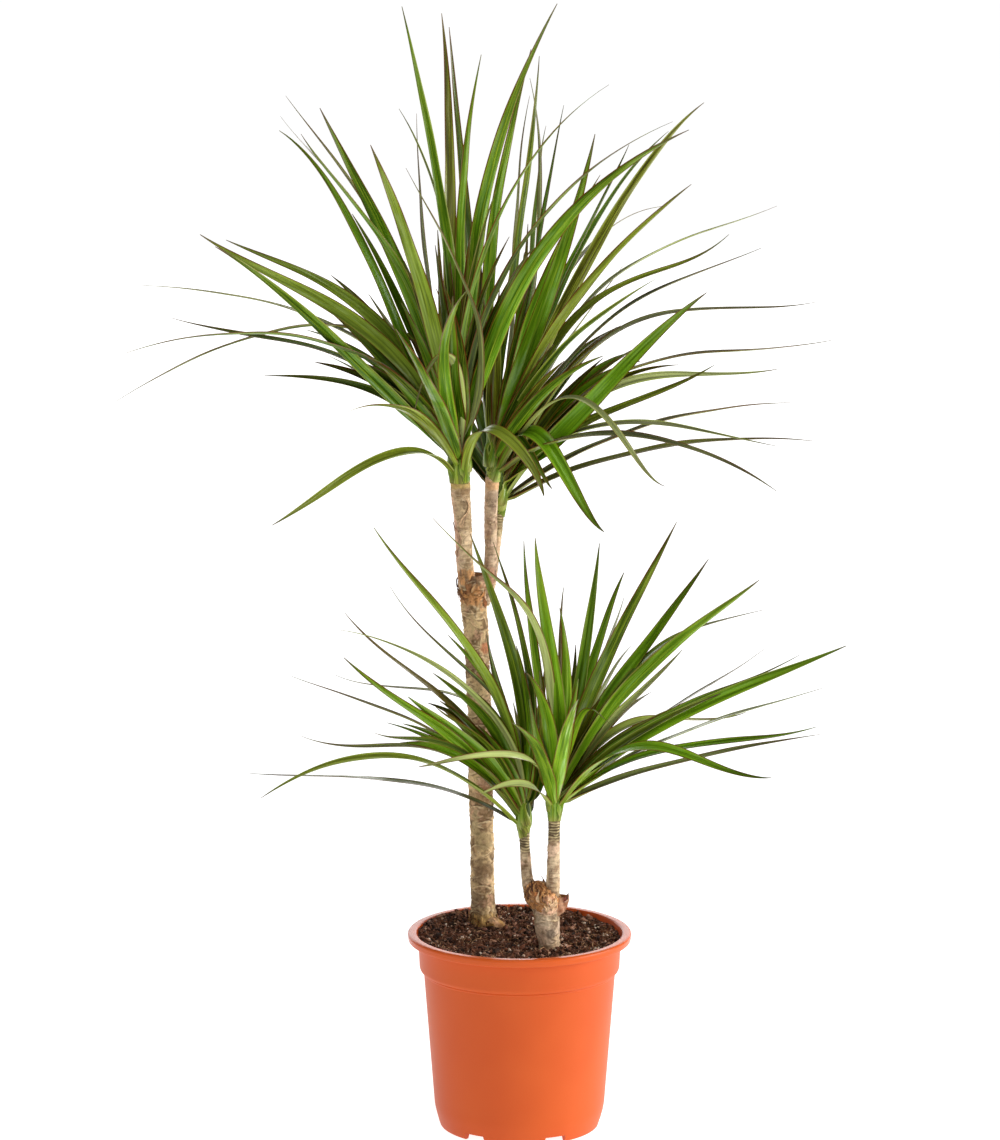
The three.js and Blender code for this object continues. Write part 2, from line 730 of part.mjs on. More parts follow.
function soilMesh() {
  const p = POT;
  const sides = p.sides;
  const away = GAP + 0.1; // from the pot's facets
  const floorTop = p.floorHeight + p.floor + GAP;
  const edges = [
    [p.flareRadius - away, p.flareHeight - GAP],
    [p.collarRadius - p.wall - away, p.stepHeight + 2.2],
    [p.wallRadius - p.wall - away, p.stepHeight - 1.2],
    [p.heelRadius - p.wall - away, p.heelHeight + 0.5],
    [p.heelRadius - p.wall - 2, floorTop],
  ];
  const vertices = [0, 0, soilHeight(0, 0)];
  // one ring of points; the radius and the height depend on the unit direction
  const ring = (radius, height) => {
    for (let k = 0; k < sides; k++) {
      // the same phase as the pot's facets
      const angle = (2 * Math.PI * k) / sides;
      const [ux, uy] = [Math.sin(angle), -Math.cos(angle)];
      const r = radius(ux, uy);
      vertices.push(r * ux, r * uy, height(r * ux, r * uy));
    }
  };
  const edge = (ux, uy) => flare(soilHeight(p.rimInner * ux, p.rimInner * uy)) - away;
  for (let i = 1; i <= SOIL.rings; i++) {
    ring((ux, uy) => (edge(ux, uy) * i) / SOIL.rings, soilHeight);
  }
  edges.forEach(([r, z]) => ring(() => r, () => z));
  const rings = SOIL.rings + edges.length;
  const bottom = vertices.length / 3;
  vertices.push(0, 0, floorTop);
  const triangles = [];
  for (let k = 0; k < sides; k++) {
    const next = (k + 1) % sides;
    triangles.push(0, 1 + k, 1 + next);
    for (let i = 0; i + 1 < rings; i++) {
      const a = 1 + i * sides;
      const b = a + sides;
      triangles.push(a + k, b + k, b + next, a + k, b + next, a + next);
    }
    const last = 1 + (rings - 1) * sides;
    triangles.push(last + k, bottom, last + next);
  }
  let made = solid(vertices, triangles);
  for (const cane of [TALL_CANE, SHORT_CANE]) {
    const { x, y, bottom: low, radius } = cane.foot;
    const bore = radius + SOIL.holeClear;
    const hole = new THREE.CylinderGeometry(bore, bore, p.rimTop, SOIL.holeSides);
    hole.rotateX(Math.PI / 2);
    hole.translate(x, y, low - GAP + p.rimTop / 2);
    made = made.subtract(solidOf(hole));
  }
  return meshOf("soil", made, FINISH.soil);
}

// ---------------------------------------------------------------- the plant

const plant = new THREE.Group();
plant.name = "potted_dracaena";
plant.add(potMesh());
plant.add(soilMesh());
plant.add(caneMesh(TALL_CANE, FINISH.bark));
plant.add(caneMesh(SHORT_CANE, FINISH.greyBark));
HEADS.forEach((head) => plant.add(headMesh(head)));

export default plant;
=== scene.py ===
"""Potted dracaena: two bare canes with five heads of strap leaves in an orange nursery pot.

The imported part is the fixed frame, and every node of it is replaced by a finer piece of the same
form: a moulded pot, crumbly peat, canes with leaf scars, and leaves with channelled blades and
clasping sheaths. Shapes are worked out in millimetres and become meshes in metres.
"""

import itertools
import logging
import math
from collections.abc import Callable
from dataclasses import dataclass
from enum import Enum

import bmesh
import bpy
import numpy as np
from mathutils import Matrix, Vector


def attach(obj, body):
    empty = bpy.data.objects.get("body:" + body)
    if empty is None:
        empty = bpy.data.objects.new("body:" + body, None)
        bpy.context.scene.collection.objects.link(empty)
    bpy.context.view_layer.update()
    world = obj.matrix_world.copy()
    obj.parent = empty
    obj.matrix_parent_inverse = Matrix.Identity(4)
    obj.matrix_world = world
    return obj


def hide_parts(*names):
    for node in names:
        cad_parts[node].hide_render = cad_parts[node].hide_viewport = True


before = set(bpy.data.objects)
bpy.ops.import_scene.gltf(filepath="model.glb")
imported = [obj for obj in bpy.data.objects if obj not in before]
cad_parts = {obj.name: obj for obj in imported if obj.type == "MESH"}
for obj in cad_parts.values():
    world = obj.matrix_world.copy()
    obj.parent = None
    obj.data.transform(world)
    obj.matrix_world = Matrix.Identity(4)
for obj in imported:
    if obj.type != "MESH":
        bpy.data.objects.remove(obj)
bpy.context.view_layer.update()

log = logging.getLogger("dracaena")
Array = np.ndarray
Colour = tuple[int, int, int]  # display red, green and blue, 0 to 255

METRE = 0.001  # metres in a millimetre
GOLDEN = math.radians(137.5)  # turn from each leaf to the next one up the stem
LATTICE = np.array([73856093, 19349663, 83492791])  # hash weights of a noise cell's place
SEED_WEIGHT = 7919  # hash weight of a noise's seed
SCRAMBLE = 1274126177  # odd factor that spreads a hash over all its bits
UP = np.array([0, 0, 1.0])


# ---------------------------------------------------------------- arithmetic on whole arrays


def linear(red: float, green: float, blue: float) -> Array:
    """Linear RGBA of a display colour given in 0 to 255."""
    share = np.array([red, green, blue]) / 255
    low = share / 12.92
    high = ((share + 0.055) / 1.055) ** 2.4
    return np.append(np.where(share <= 0.04045, low, high), 1.0)


def smooth(t: Array) -> Array:
    """Rises from 0 to 1 as t does, level at both ends: 3t^2 - 2t^3 on t held to 0..1."""
    held = np.clip(t, 0.0, 1.0)
    return held * held * (3 - 2 * held)


def between(low: float, high: float, values: Array) -> Array:
    """0 below low, 1 above high and smooth in between (or falling, where low is above high)."""
    return smooth((values - low) / (high - low))


def bump(values: Array, width: float) -> Array:
    """A bell of height 1 round zero: exp(-(v / width)^2)."""
    return np.exp(-((values / width) ** 2))


def unit(vectors: Array) -> Array:
    """The vectors scaled to length 1."""
    return vectors / np.linalg.norm(vectors, axis=-1, keepdims=True)


def mixed(first: Array, second: Array, share: Array) -> Array:
    """first where share is 0 and second where it is 1, for colours or vectors in the last axis."""
    return first + (second - first) * share[..., None]


def stained(colour: Array, tone: Colour, share: Array) -> Array:
    """The colour mixed towards a display colour by a share."""
    return mixed(colour, linear(*tone), share)


def circle(count: int) -> Array:
    """The angles of this many points spaced evenly round a circle."""
    return np.linspace(0, 2 * np.pi, count, endpoint=False)


def polar(angle: Array) -> Array:
    """Level unit vectors at angles round Z."""
    return np.stack([np.cos(angle), np.sin(angle), 0 * angle], axis=-1)


def wrapped(angle: Array) -> Array:
    """The angle brought to -pi..pi."""
    return np.angle(np.exp(1j * angle))


def through(keys: Array, values: Array, wanted: Array) -> Array:
    """A smooth curve through values at rising keys: between neighbours a Hermite cubic whose end
    slopes are the central differences of the values."""
    slopes = np.gradient(values, keys, axis=0)
    i = np.clip(np.searchsorted(keys, wanted, side="right") - 1, 0, len(keys) - 2)
    step = keys[i + 1] - keys[i]
    s = (wanted - keys[i]) / step
    if values.ndim > 1:
        step, s = step[:, None], s[:, None]
    start, end = values[i], values[i + 1]
    bend = s * (1 - s) * ((1 - s) * step * slopes[i] - s * step * slopes[i + 1])
    return start + (end - start) * s * s * (3 - 2 * s) + bend


def noise(points: Array, cell: float, seed: int) -> Array:
    """Smooth random values in -1..1 that change over one cell: each corner of the point's cell has
    a hashed value, and the eight are blended by the smoothed place inside the cell."""
    place = points / cell
    corner = np.floor(place).astype(np.int64)
    inside = smooth(place - corner)
    total = np.zeros(place.shape[:-1])
    for step in itertools.product((0, 1), repeat=3):
        weight = np.prod(np.where(step, inside, 1 - inside), axis=-1)
        key = (corner + step) @ LATTICE + seed * SEED_WEIGHT
        key = (key ^ (key >> 13)) * SCRAMBLE
        key = (key ^ (key >> 16)) & 0xFFFF
        total += weight * (key / 32767.5 - 1)
    return total


def layered(points: Array, cell: float, octaves: int, seed: int) -> Array:
    """Noise summed over octaves, each of half the cell and half the height of the one before."""
    return sum(noise(points, cell / 2**k, seed + k) / 2**k for k in range(octaves))


# ---------------------------------------------------------------- closed surfaces


@dataclass
class Shell:
    """Closed surface as arrays: points in millimetres, faces, and values carried at the points."""

    points: Array
    quads: Array
    triangles: Array
    values: dict[str, Array]

    @staticmethod
    def tube(grid: Array, values: dict[str, Array]) -> "Shell":
        """A tube from a grid of rings, zipped shut at both ends.

        Point k of every ring joins point k of the next. Each end ring is closed by quads that join
        its point j to the one opposite, m - 1 - j. Rings run so that round x along points out.

        Args:
            grid: (rings, points in a ring, 3) places.
            values: (rings, points in a ring, n) values of each attribute.

        Returns:
            The closed shell.
        """
        rings, m = grid.shape[:2]
        k = np.arange(m)
        after = (k + 1) % m
        first = (np.arange(rings - 1) * m)[:, None]
        sides = np.stack([first + k, first + after, first + after + m, first + k + m], axis=-1)
        j = np.arange(m // 2 - 1)
        cap = np.stack([j, j + 1, m - 2 - j, m - 1 - j], axis=-1)
        quads = np.concatenate([sides.reshape(-1, 4), cap[:, ::-1], cap + (rings - 1) * m])
        flat = {name: value.reshape(rings * m, -1) for name, value in values.items()}
        return Shell(grid.reshape(-1, 3), quads, np.zeros((0, 3), int), flat)

    @staticmethod
    def copies(points: Array, triangles: Array, values: dict[str, Array]) -> "Shell":
        """Many copies of one closed triangle mesh.

        Args:
            points: (copies, points in a copy, 3) places.
            triangles: (t, 3) faces of one copy.
            values: (copies, n) values of each attribute, the same all over a copy.

        Returns:
            The copies as one shell.
        """
        count, size = points.shape[:2]
        faces = triangles[None] + (np.arange(count) * size)[:, None, None]
        flat = {name: np.repeat(value.reshape(count, -1), size, axis=0) for name, value in values.items()}
        return Shell(points.reshape(-1, 3), np.zeros((0, 4), int), faces.reshape(-1, 3), flat)

    @staticmethod
    def joined(shells: list["Shell"]) -> "Shell":
        """All shells as one, with the same attributes."""
        starts = np.cumsum([0] + [len(shell.points) for shell in shells[:-1]])
        return Shell(
            np.concatenate([shell.points for shell in shells]),
            np.concatenate([shell.quads + start for shell, start in zip(shells, starts)]),
            np.concatenate([shell.triangles + start for shell, start in zip(shells, starts)]),
            {name: np.concatenate([shell.values[name] for shell in shells]) for name in shells[0].values},
        )

    def piece(self, name: str, material: bpy.types.Material, crease: float = 180.0) -> bpy.types.Object:
        """The shell as a Blender object at the origin.

        Args:
            name: the object's name.
            material: its finish.
            crease: edges that turn by more than this many degrees are sharp.

        Returns:
            The object, linked to the scene.
        """
        mesh = bpy.data.meshes.new(name)
        mesh.from_pydata((self.points * METRE).tolist(), [], self.quads.tolist() + self.triangles.tolist())
        for key, value in self.values.items():
            kind, place = VALUE_KINDS[value.shape[1]]
            mesh.attributes.new(key, kind, "POINT").data.foreach_set(place, value.astype(np.float32).ravel())
        mesh.polygons.foreach_set("use_smooth", np.ones(len(mesh.polygons), bool))
        if crease < 180.0:
            mesh.set_sharp_from_angle(angle=math.radians(crease))
        mesh.materials.append(material)
        made = bpy.data.objects.new(name, mesh)
        bpy.context.scene.collection.objects.link(made)
        return made


VALUE_KINDS = {1: ("FLOAT", "value"), 3: ("FLOAT_VECTOR", "vector"), 4: ("FLOAT_COLOR", "color")}


def seat(piece: bpy.types.Object, slot: str, *nodes: str) -> None:
    """Puts a piece on the part's body and hides the nodes it stands for."""
    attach(piece, "root")
    if nodes:
        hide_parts(*nodes)
    faces = sum(len(face.vertices) - 2 for face in piece.data.polygons)
    log.info("%s: %d triangles, replaces %s", piece.name, faces, ", ".join(nodes) or "nothing")


# ---------------------------------------------------------------- shader expressions


def arithmetic(operation: str, swapped: bool = False) -> Callable[..., "Socket"]:
    """An operator method of Socket that makes a Math node on it and the other operand."""

    def method(self: "Socket", *other: "Socket | float") -> "Socket":
        values = (*other, self) if swapped else (self, *other)
        return self.shader.node("ShaderNodeMath", {"operation": operation}, dict(enumerate(values)))

    return method


class Socket:
    """A number that a node gives out, with the arithmetic of Math nodes."""

    def __init__(self, shader: "Shader", output: bpy.types.NodeSocket) -> None:
        self.shader = shader
        self.output = output

    __add__ = __radd__ = arithmetic("ADD")
    __mul__ = __rmul__ = arithmetic("MULTIPLY")
    __sub__ = arithmetic("SUBTRACT")
    __rsub__ = arithmetic("SUBTRACT", swapped=True)
    __abs__ = arithmetic("ABSOLUTE")

    def between(self, low: float, high: float) -> "Socket":
        """0 below low, 1 above high and smooth in between."""
        settings = {"interpolation_type": "SMOOTHSTEP"}
        values = {"Value": self, "From Min": low, "From Max": high}
        return self.shader.node("ShaderNodeMapRange", settings, values)


class Shader:
    """A material whose nodes are made by expressions and end in one Principled shader."""

    def __init__(self, name: str, **uniform: float) -> None:
        """Makes the material; uniform holds values of the shader's sockets, as subsurface_weight=0.1."""
        self.material = bpy.data.materials.new(name)
        self.material.use_nodes = True
        self.tree = self.material.node_tree
        self.surface = self.tree.nodes["Principled BSDF"]
        for key, value in uniform.items():
            self.surface.inputs[key.replace("_", " ").title().replace("Ior", "IOR")].default_value = value

    def node(
        self,
        kind: str,
        settings: dict[str, object] | None = None,
        inputs: dict[str | int, object] | None = None,
        output: str | int = 0,
    ) -> Socket:
        """Makes one node.

        Args:
            kind: the node's type.
            settings: its properties, set first.
            inputs: values or links of its sockets, by name or number.
            output: the socket to give back.

        Returns:
            The output socket.
        """
        made = self.tree.nodes.new(kind)
        for key, value in (settings or {}).items():
            setattr(made, key, value)
        for key, value in (inputs or {}).items():
            if isinstance(value, Socket):
                self.tree.links.new(value.output, made.inputs[key])
            else:
                made.inputs[key].default_value = value
        return Socket(self, made.outputs[output])

    def attribute(self, name: str, output: str) -> Socket:
        """A value that the mesh carries: output is Fac, Vector or Color."""
        return self.node("ShaderNodeAttribute", {"attribute_name": name}, {}, output)

    def place(self) -> Socket:
        """The point's place on the object, in metres."""
        return self.node("ShaderNodeTexCoord", {}, {}, "Object")

    def parts(self, vector: Socket) -> tuple[Socket, Socket, Socket]:
        """The three numbers of a vector."""
        split = self.node("ShaderNodeSeparateXYZ", {}, {0: vector}).output.node
        return tuple(Socket(self, out) for out in split.outputs)

    def vector(self, x: Socket | float, y: Socket | float, z: Socket | float) -> Socket:
        """A vector from three numbers."""
        return self.node("ShaderNodeCombineXYZ", {}, {0: x, 1: y, 2: z})

    def grain(self, where: Socket, per_metre: float, detail: float = 2.0, roughness: float = 0.5) -> Socket:
        """Noise in 0..1 with this many cells to a metre of the vector it reads."""
        values = {"Vector": where, "Scale": per_metre, "Detail": detail, "Roughness": roughness}
        return self.node("ShaderNodeTexNoise", {}, values)

    def mix(self, share: Socket | float, first: Socket | Array, second: Socket | Array) -> Socket:
        """A colour from first (share 0) to second (share 1)."""
        return self.blend("MIX", share, first, second)

    def blend(
        self, mode: str, share: Socket | float, first: Socket | Array, second: Socket | Array
    ) -> Socket:
        """Two colours blended in one of the Mix node's modes."""
        settings = {"data_type": "RGBA", "blend_type": mode}
        return self.node("ShaderNodeMix", settings, {0: share, 6: first, 7: second}, 2)

    def scaled(self, colour: Socket | Array, factor: Socket) -> Socket:
        """A colour times a number."""
        return self.blend("MULTIPLY", 1.0, colour, factor)

    def relief(self, height: Socket, depth: float) -> Socket:
        """Surface normals tilted by a height in 0..1 that is depth metres deep."""
        return self.node("ShaderNodeBump", {}, {"Strength": 1.0, "Distance": depth, "Height": height})

    def dress(
        self,
        colour: Socket | Array,
        roughness: Socket | float,
        normal: Socket | None = None,
        coat: Socket | None = None,
    ) -> None:
        """Joins colour, roughness, normals and the weight of the clear coat to the surface."""
        joins = (("Base Color", colour), ("Roughness", roughness), ("Normal", normal), ("Coat Weight", coat))
        for key, value in joins:
            if isinstance(value, Socket):
                self.tree.links.new(value.output, self.surface.inputs[key])
            elif value is not None:
                self.surface.inputs[key].default_value = value


# ---------------------------------------------------------------- finishes


@dataclass(frozen=True)
class PlasticFinish:
    """Semi-gloss moulded polypropylene: even orange with faint flow marks and fine moulding grain."""

    colour: Colour = (205, 88, 32)
    deep: Colour = (200, 82, 28)
    roughness: float = 0.46

    def material(self) -> bpy.types.Material:
        """Colour drifts between two close oranges; roughness and a shallow relief carry the grain,
        and the rim is polished."""
        shader = Shader("orange_plastic", specular_ior_level=0.2)
        where = shader.place()
        x, y, z = shader.parts(where)
        drift = shader.grain(where, 14, 2.0)
        flow = shader.grain(shader.vector(x, y, z * 0.12), 90, 2.0)
        fine = shader.grain(where, 2600, 2.0)
        scuffs = shader.grain(shader.vector(x, y, z * 3), 260, 4.0, 0.7).between(0.66, 0.8)
        colour = shader.mix(drift.between(0.3, 0.7), linear(*self.deep), linear(*self.colour))
        colour = shader.mix(scuffs * 0.08, colour, linear(244, 170, 130))
        height = fine * 0.6 + flow * 0.4
        rough = self.roughness - 0.03 + drift * 0.04 + scuffs * 0.12 - z.between(0.1445, 0.147) * 0.2
        shader.dress(colour, rough, shader.relief(height, 0.00004))
        return shader.material


@dataclass(frozen=True)
class PeatFinish:
    """Moist peat: dark red-brown, with a tint of its own for each crumb; the carried tint also holds painted
    shade that darkens the hollows and painted light that lightens the right side.
    """

    # the darker colour stands for wet peat and for painted shade in the hollows, the lighter for dry peat and
    # for painted light
    wet_and_shaded: Colour = (34, 16, 8)
    dry_and_lit: Colour = (128, 76, 50)
    speck: Colour = (206, 160, 134)
    roughness: float = 0.85

    def material(self) -> bpy.types.Material:
        """Colour follows the carried tint, with its painted shade and light, and two sizes of noise, with pale
        specks; relief is crumbly.
        """
        shader = Shader("peat", specular_ior_level=0.25)
        where = shader.place()
        tint = shader.attribute("tint", "Fac")
        clods = shader.grain(where, 340, 4.0, 0.6).between(0.36, 0.66)
        fine = shader.grain(where, 1500, 3.0, 0.65)
        specks = shader.grain(where, 900, 2.0, 0.5).between(0.64, 0.7)
        # painted shade and light: the carried tint darkens the hollows and lightens the right side
        colour = shader.mix(clods * 0.6 + tint * 0.75 - 0.25, linear(*self.wet_and_shaded), linear(*self.dry_and_lit))
        colour = shader.mix(fine.between(0.58, 0.72) * 0.5, colour, linear(158, 100, 68))
        colour = shader.mix(specks * tint.between(0.1, 0.5) * 0.8, colour, linear(*self.speck))
        shader.dress(colour, self.roughness - tint * 0.08, shader.relief(fine * 0.6 + clods * 0.4, 0.0007))
        return shader.material


@dataclass(frozen=True)
class ScatterFinish:
    """Small loose things on the peat: each piece carries its own colour."""

    name: str
    roughness: float
    cells: float  # of its grain, to a metre

    def material(self) -> bpy.types.Material:
        """The carried colour, darkened and lightened by a fine grain."""
        shader = Shader(self.name)
        grain = shader.grain(shader.place(), self.cells, 3.0, 0.6)
        dark = shader.blend("MULTIPLY", 1.0, shader.attribute("colour", "Color"), linear(180, 160, 142))
        colour = shader.mix(grain.between(0.3, 0.65), dark, shader.attribute("colour", "Color"))
        shader.dress(colour, self.roughness, shader.relief(grain, 0.0002))
        return shader.material


@dataclass(frozen=True)
class BarkFinish:
    """Dry bark: the mesh carries its colour and scars, and the shader adds grain and pores."""

    name: str = "bark"
    roughness: float = 0.8

    def material(self) -> bpy.types.Material:
        """Two sizes of grain lighten and darken the carried colour; pores are dark specks."""
        shader = Shader(self.name, specular_ior_level=0.2)
        where = shader.place()
        carried = shader.attribute("colour", "Color")
        coarse = shader.grain(where, 460, 3.0, 0.65)
        fine = shader.grain(where, 1500, 3.0, 0.6)
        pores = shader.grain(where, 700, 2.0, 0.5).between(0.36, 0.27)
        level = 0.76 + coarse.between(0.3, 0.7) * 0.3 + fine.between(0.35, 0.65) * 0.2
        colour = shader.scaled(carried, level)
        colour = shader.mix(pores * 0.5, colour, linear(86, 60, 44))
        height = coarse * 0.5 + fine * 0.4 - pores * 0.5
        shader.dress(colour, self.roughness + coarse * 0.1, shader.relief(height, 0.0005))
        return shader.material


@dataclass(frozen=True)
class LeafFinish:
    """Strap leaf: parallel veins, a thin maroon edge, a paler matt underside and browned tips.

    The mesh carries each leaf's colour, "blade" = (across, along, half width) in millimetres and
    "state" = (underside, browning, the leaf's own number).
    """

    margin: float = 0.85  # width of the coloured edge, mm
    roughness: float = 0.42

    def material(self) -> bpy.types.Material:
        """Veins and bands are noise stretched along the leaf; the edge is where across nears half,
        maroon on some leaves and pale on others; a waxy coat lies in streaks."""
        shader = Shader("leaf", specular_ior_level=0.05, coat_roughness=0.26)
        carried = shader.attribute("colour", "Color")
        across, along, half = shader.parts(shader.attribute("blade", "Vector"))
        under, brown, own = shader.parts(shader.attribute("state", "Vector"))
        veins = shader.grain(shader.vector(across, along * 0.012, own), 2.6, 2.0, 0.6)
        bands = shader.grain(shader.vector(across * 0.22, along * 0.008, own + 7.0), 1.6, 2.0)
        blotches = shader.grain(shader.vector(across * 0.2, along * 0.2, own + 3.0), 0.35, 3.0)
        chance = shader.grain(shader.vector(own, 0.0, 0.0), 0.9)
        red = chance.between(0.34, 0.5) * along.between(0.0, 14.0)
        edge = (half - abs(across)).between(self.margin, self.margin * 0.3) * half.between(0.6, 1.6)
        inner_edge = (half - abs(across)).between(self.margin * 3.2, self.margin) * half.between(1.5, 3.5)
        rib = abs(across).between(0.7, 0.15) * half.between(1.0, 3.0)
        tint = 0.42 + bands.between(0.32, 0.68) * 0.84 + veins.between(0.35, 0.65) * 0.34
        colour = shader.scaled(carried, tint)
        pale = linear(164, 182, 48)
        colour = shader.mix(veins.between(0.52, 0.68) * (0.14 + under * 0.25), colour, pale)
        colour = shader.mix(inner_edge * (bands.between(0.35, 0.65) * 0.3), colour, pale)
        colour = shader.mix(rib * (0.06 + under * 0.22), colour, linear(150, 168, 44))
        colour = shader.mix(edge * 0.85, colour, shader.mix(red, linear(160, 172, 84), linear(98, 40, 12)))
        colour = shader.mix(brown, colour, shader.mix(blotches, linear(74, 56, 50), linear(126, 100, 78)))
        rough = self.roughness + under * 0.14 + brown * 0.2 + blotches * 0.06
        coat = (1.0 - brown) * bands.between(0.46, 0.62) * blotches.between(0.25, 0.55) * 0.85
        shader.dress(colour, rough, shader.relief(veins * 0.8 + blotches * 0.2, 0.00016), coat)
        return shader.material


# ---------------------------------------------------------------- pot


@dataclass
class Pot:
    """Turned shell with a rolled rim, a stepped collar, a tapering wall and a notched foot."""

    rim_radius: float = 85.0
    rim_inner: float = 78.0
    rim_top: float = 150.5
    rim_bottom: float = 144.4
    collar_radius: float = 75.9
    step_height: float = 121.2
    wall_radius: float = 72.7
    bead: float = 0.4  # how proud the wall's top edge stands
    heel_radius: float = 64.6
    heel_height: float = 15.0
    foot_radius: float = 61.2
    wall: float = 1.7
    flare_height: float = 143.0
    flare_radius: float = 75.2
    mouth_height: float = 149.7
    floor_height: float = 7.0
    floor: float = 2.2
    pad_radius: float = 16.0
    drain_radius: float = 3.6
    drain_circle: float = 40.0
    drains: int = 6
    notch_width: float = 18.0
    notch_height: float = 5.6
    notches: int = 6
    notch_turn: float = -4.0
    sides: int = 256
    arc_points: int = 6

    def outline(self) -> list[tuple[float, float, float]]:
        """Corners of the wall's section as (radius, height, rounding), from the axis out and back."""
        heel_inner = self.heel_radius - self.wall
        wall_inner = self.wall_radius - self.wall
        floor_top = self.floor_height + self.floor
        step = self.step_height
        lip = self.wall_radius + self.bead
        return [
            (self.pad_radius, 0, 0.8),
            (self.pad_radius + 2, self.floor_height, 1.0),
            (self.foot_radius - 6, self.floor_height, 1.0),
            (self.foot_radius - 4.8, 0, 0.6),
            (self.foot_radius - 0.8, 0, 1.1),
            (self.foot_radius + 0.4, 3.6, 3.0),
            (self.heel_radius, self.heel_height, 4.0),
            (self.wall_radius, step - 1.9, 0.4),
            (lip, step - 1.5, 0.3),
            (lip, step - 0.7, 0.3),
            (self.wall_radius + 0.2, step - 0.3, 0.2),
            (self.collar_radius - 0.9, step + 0.3, 0.5),
            (self.collar_radius, step + 2.2, 1.2),
            (self.collar_radius + 1, self.rim_bottom, 0.7),
            (self.rim_radius - 0.6, self.rim_bottom, 1.3),
            (self.rim_radius, self.rim_top, 2.5),
            (self.rim_inner + 0.2, self.rim_top, 1.5),
            (self.flare_radius, self.flare_height, 1.4),
            (self.collar_radius - self.wall, step + 2.2, 1.0),
            (wall_inner, step - 1.4, 1.0),
            (heel_inner, self.heel_height, 3.0),
            (heel_inner - 1.6, floor_top, 1.0),
        ]

    def section(self) -> Array:
        """The outline with every corner replaced by a curve between the points that lie its rounding
        away along both sides: the parabola with the corner as its control point."""
        corners = np.array(self.outline())
        here, rounding = corners[:, :2], corners[:, 2:]
        start = np.array([[0.0, 0.0]])
        end = np.array([[0.0, self.floor_height + self.floor]])
        before = np.concatenate([start, here[:-1]])
        after = np.concatenate([here[1:], end])
        reach_in = np.minimum(rounding, 0.45 * np.linalg.norm(before - here, axis=1, keepdims=True))
        reach_out = np.minimum(rounding, 0.45 * np.linalg.norm(after - here, axis=1, keepdims=True))
        first = here + unit(before - here) * reach_in
        last = here + unit(after - here) * reach_out
        t = np.linspace(0, 1, self.arc_points)[None, :, None]
        arcs = first[:, None] * (1 - t) ** 2 + 2 * here[:, None] * t * (1 - t) + last[:, None] * t**2
        middle = np.array([[0.05, 0.0]])
        return np.concatenate([middle, arcs.reshape(-1, 2), [[0.05, end[0, 1]]]])

    def shell(self) -> Shell:
        """The section carried round the axis, radius r at angle a going to (r cos a, r sin a)."""
        radius, height = self.section().T[..., None, None]
        return Shell.tube(radius * polar(circle(self.sides)) + height * UP, {})

    def cutters(self) -> Shell:
        """Drain drills and tapered notch blocks, as closed prisms."""
        low, high = self.floor_height - 3, self.floor_height + self.floor + 3
        shells = []
        for angle in circle(self.drains):
            ring = self.drain_circle * polar(angle) + self.drain_radius * polar(circle(24))
            shells.append(Shell.tube(np.array([ring + z * UP for z in (low, high)]), {}))
        for angle in circle(self.notches) + math.radians(self.notch_turn):
            out, side = polar(angle), polar(angle + np.pi / 2)
            corners = []
            half = self.notch_width / 2
            for z, reach in ((-4.0, half + 0.6), (self.notch_height, half - 0.8)):
                square = [(-8, -reach), (5, -reach), (5, reach), (-8, reach)]
                corners.append([(self.foot_radius + a) * out + b * side + z * UP for a, b in square])
            shells.append(Shell.tube(np.array(corners), {}))
        return Shell.joined(shells)

    def build(self, finish: PlasticFinish) -> None:
        """Turns the shell, cuts the foot notches and drain holes, and rounds off the shading."""
        pot = self.shell().piece("pot_shell", finish.material())
        tool = self.cutters().piece("pot_cutters", pot.data.materials[0])
        cut = pot.modifiers.new("cut", "BOOLEAN")
        cut.operation = "DIFFERENCE"
        cut.object = tool
        cut.solver = "EXACT"
        apply_modifiers(pot)
        bpy.data.objects.remove(tool)
        pot.data.set_sharp_from_angle(angle=math.radians(35))
        seat(pot, "pot_plastic", "pot")


def apply_modifiers(piece: bpy.types.Object) -> None:
    """Replaces a piece's mesh by the one its modifiers make."""
    bpy.context.view_layer.update()
    made = bpy.data.meshes.new_from_object(piece.evaluated_get(bpy.context.evaluated_depsgraph_get()))
    piece.modifiers.clear()
    piece.data = made


# ---------------------------------------------------------------- soil


@dataclass(frozen=True)
class Litter:
    """One kind of rough round grain that lies on the soil."""

    piece: str
    count: int
    size: tuple[float, float]  # least and most radius
    detail: int  # steps of division of the icosphere that a grain starts from
    squash: float  # how much flatter than wide a grain may be, 0..1
    sink: float  # share of the radius that is below the top
    shares: tuple[float, float]  # least and most tint, or place between the colours
    power: float = 1.0  # above 1, low shares are the more common
    colours: tuple[Colour, Colour] | None = None
    patchy: bool = False  # the tint follows a slow noise and rises to the right, painted light from that side
